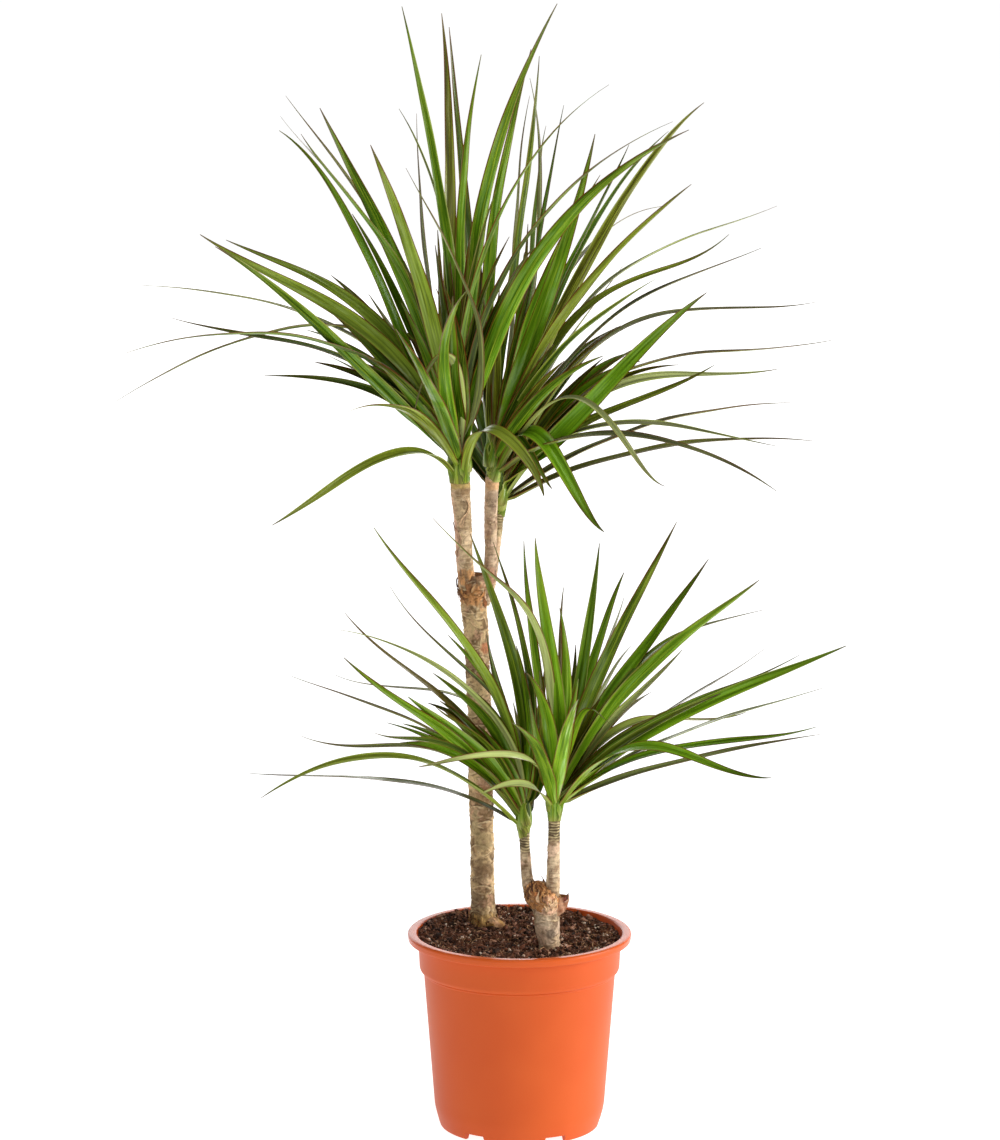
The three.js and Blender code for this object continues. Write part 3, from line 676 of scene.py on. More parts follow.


@dataclass
class Soil:
    """Root ball with a crumbly top, and what lies on it."""

    pot: Pot
    mound_at: tuple[float, float] = (-27.1, 34.0)
    top: float = 143.6
    mound: float = 2.6
    mound_reach: float = 34.0
    lean: tuple[float, float] = (-0.006, 0.012)
    bank: float = 4.0
    bank_from: float = 58.0
    bank_turn: float = 110.0
    bank_sway: float = 0.2
    lumps: float = 0.8
    rings: int = 130
    sides: int = 500
    litter: tuple[Litter, ...] = (
        Litter("peat_crumbs", 3200, (0.45, 1.5), 1, 0.4, 0.4, (0.05, 1.15), 1.5, patchy=True),
        Litter("peat_clods", 260, (1.3, 3.0), 2, 0.5, 0.6, (0, 0.7)),
        Litter("pale_grit", 430, (0.4, 1.5), 1, 0.3, 0.1, (0, 1), 1.0, ((255, 240, 222), (232, 184, 152))),
        Litter("bark_chips", 640, (0.7, 2.6), 1, 0.85, 0.2, (0, 1), 1.5, ((120, 74, 54), (214, 160, 130))),
    )
    fibres: int = 440
    clear: float = 0.35  # from the pot's inside
    seed: int = 11

    def surface(self, x: Array, y: Array) -> Array:
        """Height of the smooth top: it leans to the back left, is mounded round the tall cane, is
        banked along the wall and has two sizes of gentle lumps, products of sines."""
        away = (x - self.mound_at[0]) ** 2 + (y - self.mound_at[1]) ** 2
        mound = self.mound * np.exp(-away / (2 * self.mound_reach**2))
        lumps = np.sin(x * 0.19 + 1.3) * np.cos(y * 0.23 - 0.4) + np.sin(x * 0.51 - y * 0.37) / 2
        sway = np.cos(np.arctan2(y, x) - math.radians(self.bank_turn))
        near = between(self.bank_from, self.pot.rim_inner, np.hypot(x, y))
        bank = self.bank * near * (1 - self.bank_sway + self.bank_sway * sway)
        return self.top + self.lean[0] * x + self.lean[1] * y + mound + bank + self.lumps * lumps

    def flare(self, z: Array) -> Array:
        """Radius of the pot's inside at a height."""
        pot = self.pot
        slope = (pot.rim_inner - pot.flare_radius) / (pot.mouth_height - pot.flare_height)
        return pot.flare_radius + slope * np.maximum(0, z - pot.flare_height)

    def crumbled(self, x: Array, y: Array) -> Array:
        """The smooth top plus crumbs: layered noise, sharpened so that lumps are round above and
        meet in creases, fading out at the pot's wall."""
        z = self.surface(x, y)
        flat = np.stack([x, y, 0 * x], axis=-1)
        coarse = 1 - np.abs(noise(flat, 7.5, self.seed)) * 2
        middle = 1 - np.abs(noise(flat, 3.4, self.seed + 1)) * 2
        fine = layered(flat, 2.1, 2, self.seed + 2)
        inner = 1 - 0.5 * between(0.95, 1.0, np.hypot(x, y) / self.flare(z))
        return z + inner * (1.25 * coarse + 0.9 * middle + 0.85 * fine + 0.8 * layered(flat, 16, 2, 5))

    def root_ball(self) -> Shell:
        """Rings of the crumbled top from the middle out, then down the pot's inside to its floor."""
        pot = self.pot
        angle = circle(self.sides)[None]
        share = np.linspace(0.004, 1, self.rings)[:, None] ** 0.8
        reach = self.flare(self.surface(pot.rim_inner * np.cos(angle), pot.rim_inner * np.sin(angle)))
        radius = (reach - self.clear) * share
        x, y = radius * np.cos(angle), radius * np.sin(angle)
        top = np.stack([x, y, self.crumbled(x, y)], axis=-1)
        step = pot.step_height
        floor_top = pot.floor_height + pot.floor + self.clear
        side = [
            (pot.flare_radius - self.clear, pot.flare_height - 0.5),
            (pot.collar_radius - pot.wall - self.clear, step + 3),
            (pot.wall_radius - pot.wall - self.clear, step - 2.4),
            (pot.heel_radius - pot.wall - self.clear, pot.heel_height + 2),
            (pot.heel_radius - pot.wall - 3, floor_top),
            (0.2, floor_top),
        ]
        walls = [r * polar(angle[0]) + z * UP for r, z in side]
        grid = np.concatenate([top, np.array(walls)])[::-1]
        # painted light and shade: the tint rises to the right as if lit from there, and with the crumbs'
        # height over the smooth top, so the hollows between them are darker
        lift = grid[..., 2] - self.surface(grid[..., 0], grid[..., 1])
        tint = 0.3 + 0.12 * grid[..., 0] / pot.rim_inner + 0.2 * lift
        tint = tint + 0.3 * layered(grid, 7, 3, self.seed + 4)
        return Shell.tube(grid, {"tint": np.clip(tint, 0, 1)[..., None]})

    def scattered(self, count: int, draw: np.random.Generator, reach: float = 0.98) -> Array:
        """Random places on the top, as even over its area as chance allows."""
        share = np.sqrt(draw.uniform(0, 1, count)) * reach
        angle = draw.uniform(0, 2 * np.pi, count)
        rim = self.pot.rim_inner
        radius = share * self.flare(self.surface(rim * np.cos(angle), rim * np.sin(angle))) - 1.0
        x, y = radius * np.cos(angle), radius * np.sin(angle)
        return np.stack([x, y, self.crumbled(x, y)], axis=-1)

    def grains(self, kind: Litter, seed: int) -> Shell:
        """All grains of one kind, lying on the top.

        Each is an icosphere whose points move in or out by noise, is stretched by a random factor
        along each axis, turned at random and sunk a little.
        """
        draw = np.random.default_rng(seed)
        ball = bmesh.new()
        bmesh.ops.create_icosphere(ball, subdivisions=kind.detail, radius=1.0)
        base = np.array([corner.co[:] for corner in ball.verts])
        faces = np.array([[corner.index for corner in face.verts] for face in ball.faces])
        ball.free()
        count, (least, most) = kind.count, kind.size
        radius = least + (most - least) * draw.uniform(0, 1, count) ** 2.5
        wide, deep = draw.uniform(0.8, 1.6, count), draw.uniform(0.5, 1.0, count)
        flat = 1 - kind.squash * draw.uniform(0.4, 1, count)
        rough = 1 + 0.38 * draw.uniform(-1, 1, (count, len(base), 1))
        shaped = base[None] * rough * np.stack([wide, deep, flat], axis=-1)[:, None]
        turned = np.einsum("nij,nkj->nki", turns(draw, count, 0.6), shaped)
        place = self.scattered(count, draw)
        place[:, 2] += radius * flat * (1 - kind.sink)
        points = place[:, None] + turned * radius[:, None, None]
        share = draw.uniform(*kind.shares, count) ** kind.power
        if kind.colours:
            first, second = kind.colours
            return Shell.copies(points, faces, {"colour": stained(linear(*first), second, share)})
        if kind.patchy:
            # painted light: the crumbs lighten towards the right, as if lit from there
            lit_from_right = 0.8 + 0.25 * points[:, 0, 0] / self.pot.rim_inner
            share = share * np.clip(lit_from_right + 1.7 * noise(points[:, 0], 9, self.seed + 30), 0.2, 1.8)
        return Shell.copies(points, faces, {"tint": share})

    def build(self, peat: PeatFinish, grit: ScatterFinish, bark: ScatterFinish) -> None:
        """Makes the root ball and scatters crumbs, clods, grit, chips of bark and fibres on it."""
        dark = peat.material()
        seat(self.root_ball().piece("root_ball", dark), "peat_soil", "soil")
        finishes = {"pale_grit": grit.material(), "bark_chips": bark.material()}
        for number, kind in enumerate(self.litter):
            grains = self.grains(kind, self.seed + 20 + number)
            seat(grains.piece(kind.piece, finishes.get(kind.piece, dark)), "peat_soil")
        seat(self.fibre_shell().piece("peat_fibres", finishes["bark_chips"]), "peat_soil")

    def fibre_shell(self) -> Shell:
        """Thin root fibres: each follows a bent line close over the crumbs, as a tube of four sides
        that thins to both ends."""
        draw = np.random.default_rng(self.seed + 24)
        count, steps = self.fibres, 9
        middle = self.scattered(count, draw, 0.93)
        heading = draw.uniform(0, 2 * np.pi, count)
        reach = draw.uniform(1.5, 6.5, count)
        bend = draw.uniform(-1.3, 1.3, count)
        s = np.linspace(-1, 1, steps)
        turn = heading[:, None] + bend[:, None] * s
        x = middle[:, :1] + reach[:, None] * s * np.cos(turn)
        y = middle[:, 1:2] + reach[:, None] * s * np.sin(turn)
        inside = np.minimum(1, (self.flare(np.array(self.top)) - 1.5) / np.hypot(x, y))
        x, y = x * inside, y * inside
        arch = draw.uniform(0, 1.6, (count, 1)) * (1 - s**2) + 0.25
        z = self.crumbled(x, y) + arch
        radius = draw.uniform(0.14, 0.36, (count, 1)) * (1 - 0.7 * s**2)
        quarter = circle(4)[:, None]
        ring = polar(turn + np.pi / 2)[:, :, None] * np.cos(quarter) + UP * np.sin(quarter)
        grids = np.stack([x, y, z], axis=-1)[:, :, None] - ring * radius[:, :, None, None]
        colour = stained(linear(124, 80, 54), (228, 180, 134), draw.uniform(0, 1, count) ** 1.1)
        spread = np.broadcast_to(colour[:, None, None], (count, steps, 4, 4))
        return Shell.joined([Shell.tube(grid, {"colour": tone}) for grid, tone in zip(grids, spread)])


def turns(draw: np.random.Generator, count: int, tip: float) -> Array:
    """Random rotations: any turn about Z after a tilt of up to tip radians about X and Y."""
    a, b = draw.uniform(-tip, tip, (2, count))
    c = draw.uniform(0, 2 * np.pi, count)
    made = np.eye(3)
    for angle, i, j in ((a, 1, 2), (b, 2, 0), (c, 0, 1)):
        turn = np.broadcast_to(np.eye(3), (count, 3, 3)).copy()
        turn[:, i, i] = turn[:, j, j] = np.cos(angle)
        turn[:, j, i] = np.sin(angle)
        turn[:, i, j] = -turn[:, j, i]
        made = turn @ made
    return made


# ---------------------------------------------------------------- places seen from the front


@dataclass(frozen=True)
class Camera:
    """The photograph's viewpoint, in millimetres and degrees."""

    x: float = -14.8
    y: float = -3200.0
    z: float = 1001.6
    pitch: float = 79.85
    lens: float = 137.34
    sensor: float = 36.0

    def place(self) -> Array:
        """Where the camera stands."""
        return np.array([self.x, self.y, self.z])

    def seen(self, x: Array, z: Array, y: Array) -> Array:
        """The point at depth y that is seen at x, z in the front elevation, the plane y = 0."""
        along = (y - self.y) / -self.y
        flat = np.stack([x, 0 * x, z], axis=-1)
        return self.place() + along[..., None] * (flat - self.place())

    def build(self) -> None:
        """Makes the scene's camera."""
        lens = bpy.data.cameras.new("camera")
        lens.lens = self.lens
        lens.sensor_width = self.sensor
        lens.clip_end = 300.0
        made = bpy.data.objects.new("camera", lens)
        made.location = self.place() * METRE
        made.rotation_euler = (math.radians(self.pitch), 0, 0)
        bpy.context.scene.collection.objects.link(made)
        bpy.context.scene.camera = made


CAMERA = Camera()


# ---------------------------------------------------------------- canes


def from_ring(height: Array, pitch: float) -> Array:
    """Height above the nearest of the rings that follow each other at this pitch."""
    phase = height / pitch
    return (phase - np.round(phase)) * pitch


@dataclass(frozen=True)
class Patch:
    """A stain on the bark: where it is, how far it reaches, its colour and how fibrous it is."""

    turn: float  # degrees from +X, seen from above
    height: float
    wide: float  # degrees
    tall: float
    colour: Colour
    strength: float = 0.85
    fibre: float = 0.0  # depth of its upright fibres


@dataclass
class Bark:
    """Bark as it is laid on: its relief in millimetres and its linear colour at every point."""

    relief: Array
    colour: Array

    def lay(self, mask: Array, tone: Array, strength: float, rise: float = 0.0) -> None:
        """Colours the bark where the mask is high, and raises it there."""
        self.colour = mixed(self.colour, tone, strength * mask)
        self.relief = self.relief + rise * mask


@dataclass(frozen=True)
class Stem:
    """One grown length of a cane: rows of (x, z, radius) in elevation and its depth, foot to top."""

    rows: tuple[tuple[float, float, float], ...]
    depth: tuple[float, float]
    sides: int = 84
    step: float = 0.6  # between rows of points
    base: Colour = (200, 170, 132)
    shade: Colour = (150, 122, 92)
    third: Colour = (206, 168, 142)
    scar_rise: float = 0.0  # climb from each leaf scar to the next; 0 for none
    scar_reach: float = 80.0  # degrees from the middle of a scar to its end
    scar_height: float = 3.7  # from the middle of a scar to its edge
    scribble: float = 0.5  # strength of the crossing ridges
    rings: float = 3.4  # spacing of ring scars; 0 for none
    ring_depth: float = 0.22
    fresh: float = 12.0  # length below the top that has close zigzag rings
    rough: float = 0.35
    spots: float = 0.3  # strength of the dark spots
    hollow: float = 0.0  # depth of the cut top's dish
    patches: tuple[Patch, ...] = ()
    seed: int = 1

    def axis(self, height: Array) -> tuple[Array, Array]:
        """Centre and radius at elevation heights, smooth through the rows."""
        rows = np.array(self.rows)
        along = through(rows[:, 1], rows[:, [0, 2]], height)
        low, high = rows[0, 1], rows[-1, 1]
        depth = self.depth[0] + (self.depth[1] - self.depth[0]) * (height - low) / (high - low)
        return CAMERA.seen(along[:, 0], height, depth), along[:, 1]

    def shell(self) -> Shell:
        """Rings round the axis whose radius carries the bark's relief, closed by a rounded end."""
        low, high = self.rows[0][1], self.rows[-1][1]
        height = np.linspace(low, high, max(8, int((high - low) / self.step)))
        centre, radius = self.axis(height)
        turn, up = np.broadcast_arrays(circle(self.sides)[None], height[:, None])
        out = polar(turn)
        surface = centre[:, None] + radius[:, None, None] * out
        bark = self.bark(surface, turn, up)
        grid = surface + out * bark.relief[..., None]
        share = np.cos(np.linspace(0, np.pi / 2, 9)[1:])[:, None, None]
        middle, rim = centre[-1], grid[-1][None]
        dome = middle + (rim - middle) * np.maximum(share, 0.04)
        rise = 0.35 * radius[-1] * (1 - share) if not self.hollow else -self.hollow * (1 - share) ** 0.7
        grain = noise(dome, 1.6, self.seed + 9)[..., None] * 0.4 * (1 - share)
        dome = dome + UP * (rise + grain)
        end = np.broadcast_to(bark.colour[-1], dome.shape[:2] + (4,))
        # the cut's own brown, with painted shade deepening towards the dish's middle
        if self.hollow:
            inward = 1 - share[..., 0] + 0 * end[..., 0]
            end = stained(linear(150, 100, 62), (40, 24, 18), inward)
        return Shell.tube(np.concatenate([grid, dome]), {"colour": np.concatenate([bark.colour, end])})

    def bark(self, surface: Array, turn: Array, up: Array) -> Bark:
        """Relief and colour of the bark.

        The ground is blotched by noise of several sizes. Scribbled ridges stand where a slow noise crosses
        zero, pale partly in their own colour and partly as painted highlight, each with a dark crease of
        painted shade beside it. Leaf scars, ring scars and the close rings under the leaves lie over that, the
        scars' rims likewise pale with painted shade beside them, and stains last.

        Args:
            surface: points of the smooth stem.
            turn: their angle round the stem.
            up: their height in elevation.

        Returns:
            The bark, one value for each point.
        """
        seed = self.seed
        broad = layered(surface, 13, 3, seed)
        fine = layered(surface, 2.2, 3, seed + 1)
        blotch = layered(surface * [1, 1, 0.8], 9, 3, seed + 2)
        ground = stained(linear(*self.base), self.shade, between(-0.3, 0.5, blotch + 0.3 * fine))
        bark = Bark(self.rough * (0.5 * broad + 0.3 * blotch + 0.4 * fine), ground)
        bark.lay(between(0.1, 0.7, broad - 0.4 * fine), linear(*self.third), 0.75)
        spots = layered(surface * [1, 1, 1.3], 3.6, 2, seed + 4)
        bark.lay(between(0.45, 0.8, spots), linear(86, 62, 44), self.spots)
        bark.lay(between(0.5, 0.9, layered(surface, 2.8, 2, seed + 6)), linear(226, 202, 166), 0.5)
        for k, cell in enumerate((17.0, 12.0)):
            warp = 3.0 * noise(surface, 8, seed + 20 + k)[..., None]
            line = noise((surface + warp) * [1, 1, 1.6 + 0.3 * k], cell, seed + 22 + k)
            alive = self.scribble * between(-0.3, 0.4, noise(surface, 7, seed + 24 + k))
            width = 0.95 / cell
            # painted shade in the crease beside each ridge, and a pale ridge that is partly painted highlight
            bark.lay(bump(line - 2.1 * width, 1.1 * width) * alive, linear(84, 60, 42), 0.8, -0.4)
            bark.lay(bump(line, width) * alive, linear(226, 196, 152), 0.85, 0.45)
        if self.rings:
            wander = 1.4 * noise(surface, 8, seed + 2) + 0.6 * noise(surface, 3, seed + 7)
            away = from_ring(up + wander, self.rings)
            strength = np.clip(0.3 + 0.9 * noise(surface, 5, seed + 3), 0, 1)
            # a pale ring, partly painted highlight, with painted shade just below it
            bark.lay(bump(away, 0.36) * strength, linear(228, 202, 164), 0.5, self.ring_depth)
            bark.lay(bump(away + 0.8, 0.45) * strength, linear(92, 68, 50), 0.55, -0.15)
        if self.scar_rise:
            ridge, inside, crease, own = self.scars(turn, up, surface)
            floor = stained(linear(142, 122, 90), (184, 146, 108), own)
            bark.lay(inside * between(0.6, -0.2, fine), floor, 0.5)
            bark.relief -= 0.25 * inside
            # a pale rim, partly painted highlight, with painted shade in the crease outside it
            bark.lay(ridge, linear(228, 200, 156), 0.85, 0.42)
            bark.lay(crease, linear(90, 62, 42), 0.75, -0.35)
        if self.fresh:
            under_top = self.rows[-1][1] - up + 3 * noise(surface, 4, seed + 9)
            near = between(self.fresh, self.fresh * 0.6, under_top)
            zigzag = 1.1 * noise(surface, 4.5, seed + 5) + 0.4 * noise(surface, 1.8, seed + 8)
            line = bump(from_ring(up + zigzag, 2.2), 0.45)
            line = line * np.clip(0.75 + 0.8 * noise(surface, 3, seed + 12), 0.15, 1)
            ground = stained(linear(92, 74, 44), (52, 38, 24), between(-0.3, 0.4, blotch))
            bark.lay(near, stained(ground, (226, 206, 152), line), 0.92)
            bark.relief += near * (0.34 * line - 0.12)
        for patch in self.patches:
            away = wrapped(turn - math.radians(patch.turn)) / math.radians(patch.wide)
            rim = np.hypot(away, (up - patch.height) / patch.tall) + 0.3 * fine + 0.35 * broad + 0.3 * blotch
            here = patch.strength * between(1.15, 0.6, rim)
            strand = 0.4 * fine + 0.3 * blotch
            if patch.fibre:
                strand = layered(surface * [1, 1, 0.22], 1.5, 2, seed + 30)
            tone = linear(*patch.colour)[:3] * (1 + 0.75 * strand[..., None])
            tone = np.append(np.clip(tone, 0.01, 1), np.ones_like(tone[..., :1]), axis=-1)
            bark.lay(here, tone, 1.0)
            bark.relief += patch.fibre * here * strand
        return bark

    def scars(self, turn: Array, up: Array, surface: Array) -> tuple[Array, Array, Array, Array]:
        """Masks of the leaf scars: ridge, inside, crease, and a number of its own for each scar.

        A scar is a lens round the cane: its edge stands at h (1 - x^2) above and below the middle,
        where x is the turn from it over its reach. Noise breaks the edge and moves it. Later scars
        lie over earlier ones, as the higher leaf's base did.
        """
        draw = np.random.default_rng(self.seed + 40)
        ridge, inside, crease, own = (np.zeros_like(up) for _ in range(4))
        wander = 1.1 * noise(surface, 6, self.seed + 41) + 0.4 * noise(surface, 2, self.seed + 42)
        whole = between(-0.35, 0.3, noise(surface, 5, self.seed + 43))
        count = int((self.rows[-1][1] - self.rows[0][1]) / self.scar_rise) + 1
        for k in range(count):
            middle = self.rows[0][1] + self.scar_rise * (k + draw.uniform(-0.5, 0.5))
            reach = math.radians(self.scar_reach * draw.uniform(0.6, 1.2))
            tall = self.scar_height * draw.uniform(0.6, 1.25)
            x = wrapped(turn - GOLDEN * k - draw.uniform(-0.4, 0.4)) / reach
            away = up + wander - middle - draw.uniform(-2.2, 2.2) * x
            edge = tall * np.clip(1 - x**2, 0, None)
            here = between(1.06, 0.96, np.abs(x))
            within = here * between(0.5, -0.5, np.abs(away) - edge)
            keep = 1 - within
            line = here * whole * bump(np.abs(away) - edge, 0.5)
            outside = here * whole * bump(np.abs(away) - edge - 0.95, 0.5)
            ridge = np.maximum(ridge * keep, line)
            crease = np.maximum(crease * keep, outside)
            inside = np.maximum(inside * keep, within * between(-0.3, -1.2, np.abs(away) - edge))
            own = own * keep + within * draw.uniform(0, 1)
        return ridge, inside, crease * (1 - ridge), own


@dataclass(frozen=True)
class Flake:
    """A torn strip of bark that lies on a stem and lifts off it towards its tip."""

    turn: float  # of its root round the stem, degrees from +X
    height: float  # of its root, in elevation
    length: float
    width: float
    heading: float  # degrees from straight up, to the right seen from outside
    lift: float  # how far its tip stands off the stem
    colour: Colour
    stem: int = 0  # which of the cane's stems carries it

    def shell(self, stem: Stem, number: int) -> Shell:
        """The strip follows the stem's surface, its height and turn changing evenly along it; it
        stands off by lift s^1.5, and its width falls to a ragged tip as 1 - s^1.6."""
        s = np.linspace(0, 1, 12)[:, None]
        u = np.array([[1, 0.5, 0, -0.5, -1, -1, -0.5, 0, 0.5, 1]])
        face = np.array([[1, 1, 1, 1, 1, -1, -1, -1, -1, -1]])
        heading = math.radians(self.heading) + 0.5 * np.sin(3 * s + number)
        ragged = 1 + 0.45 * np.sin(9 * s + 2.3 * number) + 0.25 * np.sin(23 * s + number)
        half = self.width / 2 * (1 - s**1.6) * ragged + 0.1
        _, radius = stem.axis(np.array([self.height]))
        ahead, side = self.length * s, u * half
        height = self.height + ahead * np.cos(heading) - side * np.sin(heading)
        turn = math.radians(self.turn) + (ahead * np.sin(heading) + side * np.cos(heading)) / radius[0]
        top = stem.rows[-1][1]
        centre, radius = stem.axis(np.minimum(height, top).ravel())
        off = self.lift * s**1.5 + 0.14 * face + 0.3 + 0.25 * np.abs(u) * self.width / 3
        reach = radius.reshape(height.shape) + off
        grid = centre.reshape(height.shape + (3,)) + reach[..., None] * polar(turn)
        grid = grid + np.maximum(0, height - top)[..., None] * UP
        grid = grid + 0.35 * noise(grid, 1.9, number + 60)[..., None]
        along = np.stack([side * 3, 0.25 * ahead + 0 * u, 0 * height], axis=-1)
        streak = between(-0.6, 0.8, noise(along, 1, number))
        dark = linear(*(0.66 * np.array(self.colour)))
        return Shell.tube(grid, {"colour": mixed(linear(*self.colour), dark, streak)})


@dataclass(frozen=True)
class Tuft:
    """Torn fibres that stand all round a stem between two heights."""

    low: float
    high: float
    count: int
    length: tuple[float, float]
    width: tuple[float, float]
    lift: tuple[float, float]
    sway: float  # most degrees from upright
    colours: tuple[Colour, ...]
    stem: int = 0
    seed: int = 1

    def flakes(self) -> list[Flake]:
        """The fibres, evenly round the stem by the golden angle, with the rest drawn at random."""
        draw = np.random.default_rng(self.seed)
        made = []
        for k in range(self.count):
            made.append(
                Flake(
                    math.degrees(GOLDEN) * k + draw.uniform(-12, 12),
                    draw.uniform(self.low, self.high),
                    draw.uniform(*self.length),
                    draw.uniform(*self.width),
                    draw.uniform(-self.sway, self.sway),
                    draw.uniform(*self.lift),
                    self.colours[draw.integers(len(self.colours))],
                    self.stem,
                )
            )
        return made


@dataclass
class Cane:
    """A cane with its shoots, flakes and stains, all one growth."""

    name: str
    slot: str
    stems: tuple[Stem, ...]
    flakes: tuple[Flake, ...] = ()
    tufts: tuple[Tuft, ...] = ()

    def build(self, finish: BarkFinish) -> None:
        """Joins the stems into one piece that stands for the cane, and adds its flakes."""
        bark = finish.material()
        shells = [stem.shell() for stem in self.stems]
        seat(Shell.joined(shells).piece(f"{self.name}_bark", bark), self.slot, self.name)
        flakes = [*self.flakes, *itertools.chain.from_iterable(tuft.flakes() for tuft in self.tufts)]
        strips = [flake.shell(self.stems[flake.stem], number) for number, flake in enumerate(flakes)]
        seat(Shell.joined(strips).piece(f"{self.name}_flakes", bark, 60), self.slot)


TALL_TRUNK = Stem(
    rows=(
        (-27, 120, 9.2), (-27, 152, 9.6), (-27.4, 163, 9.7), (-27.8, 178, 9.2), (-28.1, 200, 9.1),
        (-28.3, 222, 9), (-29.2, 254, 9.2), (-30.2, 311, 9.4), (-31.2, 345, 9.2), (-32.6, 378, 9.3),
        (-34.2, 399, 9.7), (-35.4, 414, 10.6), (-35.6, 421, 10.7), (-35, 425.6, 9.2),
    ),
    depth=(34.0, 32.0),
    sides=108,
    base=(206, 176, 130),
    shade=(126, 100, 70),
    third=(208, 162, 130),
    scar_rise=6.2,
    scribble=0.8,
    rings=0,
    fresh=0,
    rough=0.8,
    spots=0.6,
    hollow=3.0,
    patches=(
        Patch(-90, 411, 110, 10, (184, 128, 80), 0.85, 0.7),
        Patch(-115, 416, 40, 6, (120, 80, 52), 0.7, 0.4),
        Patch(-70, 424, 60, 4, (96, 62, 42), 0.7, 0.4),
        Patch(-42, 371, 26, 4.5, (182, 98, 60), 0.75),
        Patch(-60, 352, 30, 6, (176, 104, 60), 0.6),
        Patch(-100, 300, 40, 9, (112, 84, 60), 0.7),
        Patch(-70, 262, 50, 10, (150, 100, 62), 0.6),
        Patch(-30, 310, 40, 14, (218, 180, 144), 0.6),
        Patch(-120, 240, 40, 12, (156, 138, 98), 0.7),
        Patch(-80, 222, 46, 8, (148, 128, 90), 0.7),
        Patch(-90, 159, 100, 6, (170, 134, 78), 0.75, 0.9),
        Patch(-130, 152, 40, 5, (112, 80, 46), 0.8, 0.5),
        Patch(-60, 148, 90, 6, (168, 118, 74), 0.8, 0.7),
        Patch(-80, 198, 50, 9, (116, 92, 66), 0.75),
        Patch(-120, 176, 50, 8, (112, 92, 68), 0.6),
        Patch(90, 180, 60, 16, (136, 110, 78), 0.7),
        Patch(70, 340, 60, 18, (170, 120, 82), 0.6),
        Patch(110, 408, 70, 10, (160, 104, 58), 0.8, 0.5),
    ),
    seed=3,
)
TALL_LEFT_SHOOT = Stem(
    rows=(
        (-38.5, 408, 6), (-40.2, 425, 6.4), (-41.2, 436, 6.3), (-42, 455, 6.4), (-42.8, 470, 6.6),
        (-44, 485, 7.2), (-44.6, 498.5, 7.4),
    ),
    depth=(30.0, 20.0),
    base=(212, 184, 148),
    shade=(158, 132, 98),
    third=(214, 178, 150),
    scribble=0.6,
    fresh=0,
    patches=(
        Patch(190, 455, 40, 46, (216, 172, 144), 0.85),
        Patch(-75, 480, 30, 1.6, (78, 54, 38), 0.8),
        Patch(-60, 477, 14, 3.5, (104, 78, 56), 0.6),
        Patch(-100, 474, 70, 9, (168, 142, 106), 0.6),
        Patch(-90, 495, 200, 4.5, (176, 148, 84), 0.85),
        Patch(-60, 489, 60, 3, (118, 88, 56), 0.55),
        Patch(-90, 424, 120, 8, (176, 122, 70), 0.8, 0.4),
        Patch(60, 470, 70, 16, (160, 136, 100), 0.7),
    ),
    seed=5,
)
TALL_MIDDLE_SHOOT = Stem(
    rows=(
        (-27.2, 403, 5), (-23.5, 420, 5.4), (-21.6, 440, 4.7), (-21.7, 460, 4.7), (-21.4, 480, 5),
        (-20.2, 499.5, 5.3),
    ),
    depth=(33.0, 40.0),
    base=(208, 180, 150),
    shade=(156, 128, 102),
    third=(212, 176, 150),
    fresh=0,
    patches=(
        Patch(-90, 494, 200, 4.5, (206, 158, 108), 0.7),
        Patch(-80, 484, 70, 5, (150, 126, 102), 0.7),
        Patch(-80, 478, 40, 1.2, (96, 70, 52), 0.6),
        Patch(-60, 475, 26, 2.6, (112, 84, 64), 0.6),
        Patch(-110, 456, 30, 5, (140, 106, 80), 0.6),
        Patch(-90, 424, 120, 8, (158, 114, 90), 0.7, 0.4),
    ),
    seed=6,
)
TALL_RIGHT_SHOOT = Stem(
    rows=(
        (-26.4, 402, 4), (-22.4, 416, 4), (-19.4, 435, 3.7), (-17.6, 450, 3.6), (-16, 462, 3.6),
        (-15.4, 472, 3.8),
    ),
    depth=(38.0, 66.0),
    base=(206, 188, 146),
    shade=(150, 130, 92),
    sides=64,
    seed=7,
)
ROOT_FLANGE = Stem(
    rows=((-11.5, 132, 6.8), (-12.6, 143, 7.3), (-15, 150, 7.0), (-18.6, 156.5, 6.0), (-21.5, 161, 3.6)),
    depth=(25.0, 27.0),
    base=(214, 166, 128),
    shade=(140, 100, 62),
    third=(176, 134, 74),
    rings=0,
    fresh=0,
    rough=2.0,
    spots=0.6,
    patches=(
        Patch(-70, 147, 60, 5, (116, 80, 46), 0.85, 0.8),
        Patch(-130, 154, 50, 4, (190, 146, 82), 0.8, 0.8),
        Patch(-50, 155, 40, 3, (104, 70, 44), 0.7, 0.5),
    ),
    sides=56,
    seed=8,
)
SHORT_TRUNK = Stem(
    rows=(
        (22.6, 120, 7.4), (22.6, 138, 7.6), (22.0, 146, 8.2), (20.9, 155, 9.2), (20.4, 163.7, 9.8),
        (19.6, 169, 10.8), (18.2, 174, 12.6), (17.0, 179, 12.8), (15.4, 184, 10.4), (13.8, 188, 6.0),
    ),
    depth=(-25.0, -25.0),
    sides=128,
    step=0.5,
    base=(196, 172, 144),
    shade=(144, 122, 98),
    third=(212, 184, 156),
    rings=0,
    scar_rise=9.5,
    scar_reach=95,
    scar_height=3.6,
    scribble=0.4,
    fresh=0,
    rough=0.9,
    patches=(
        Patch(-95, 181, 200, 11, (206, 150, 96), 1.0, 0.7),
        Patch(-140, 178, 45, 10, (116, 80, 54), 0.9, 0.7),
        Patch(-100, 185, 70, 5, (164, 100, 58), 0.75, 0.5),
        Patch(-62, 176, 26, 5, (216, 166, 134), 0.85, 0.3),
        Patch(-80, 168, 50, 3, (218, 176, 144), 0.8, 0.3),
        Patch(-75, 150, 34, 5, (116, 102, 86), 0.8),
        Patch(-110, 160, 40, 6, (206, 186, 156), 0.7),
        Patch(80, 155, 60, 10, (128, 110, 90), 0.7),
    ),
    seed=13,
)
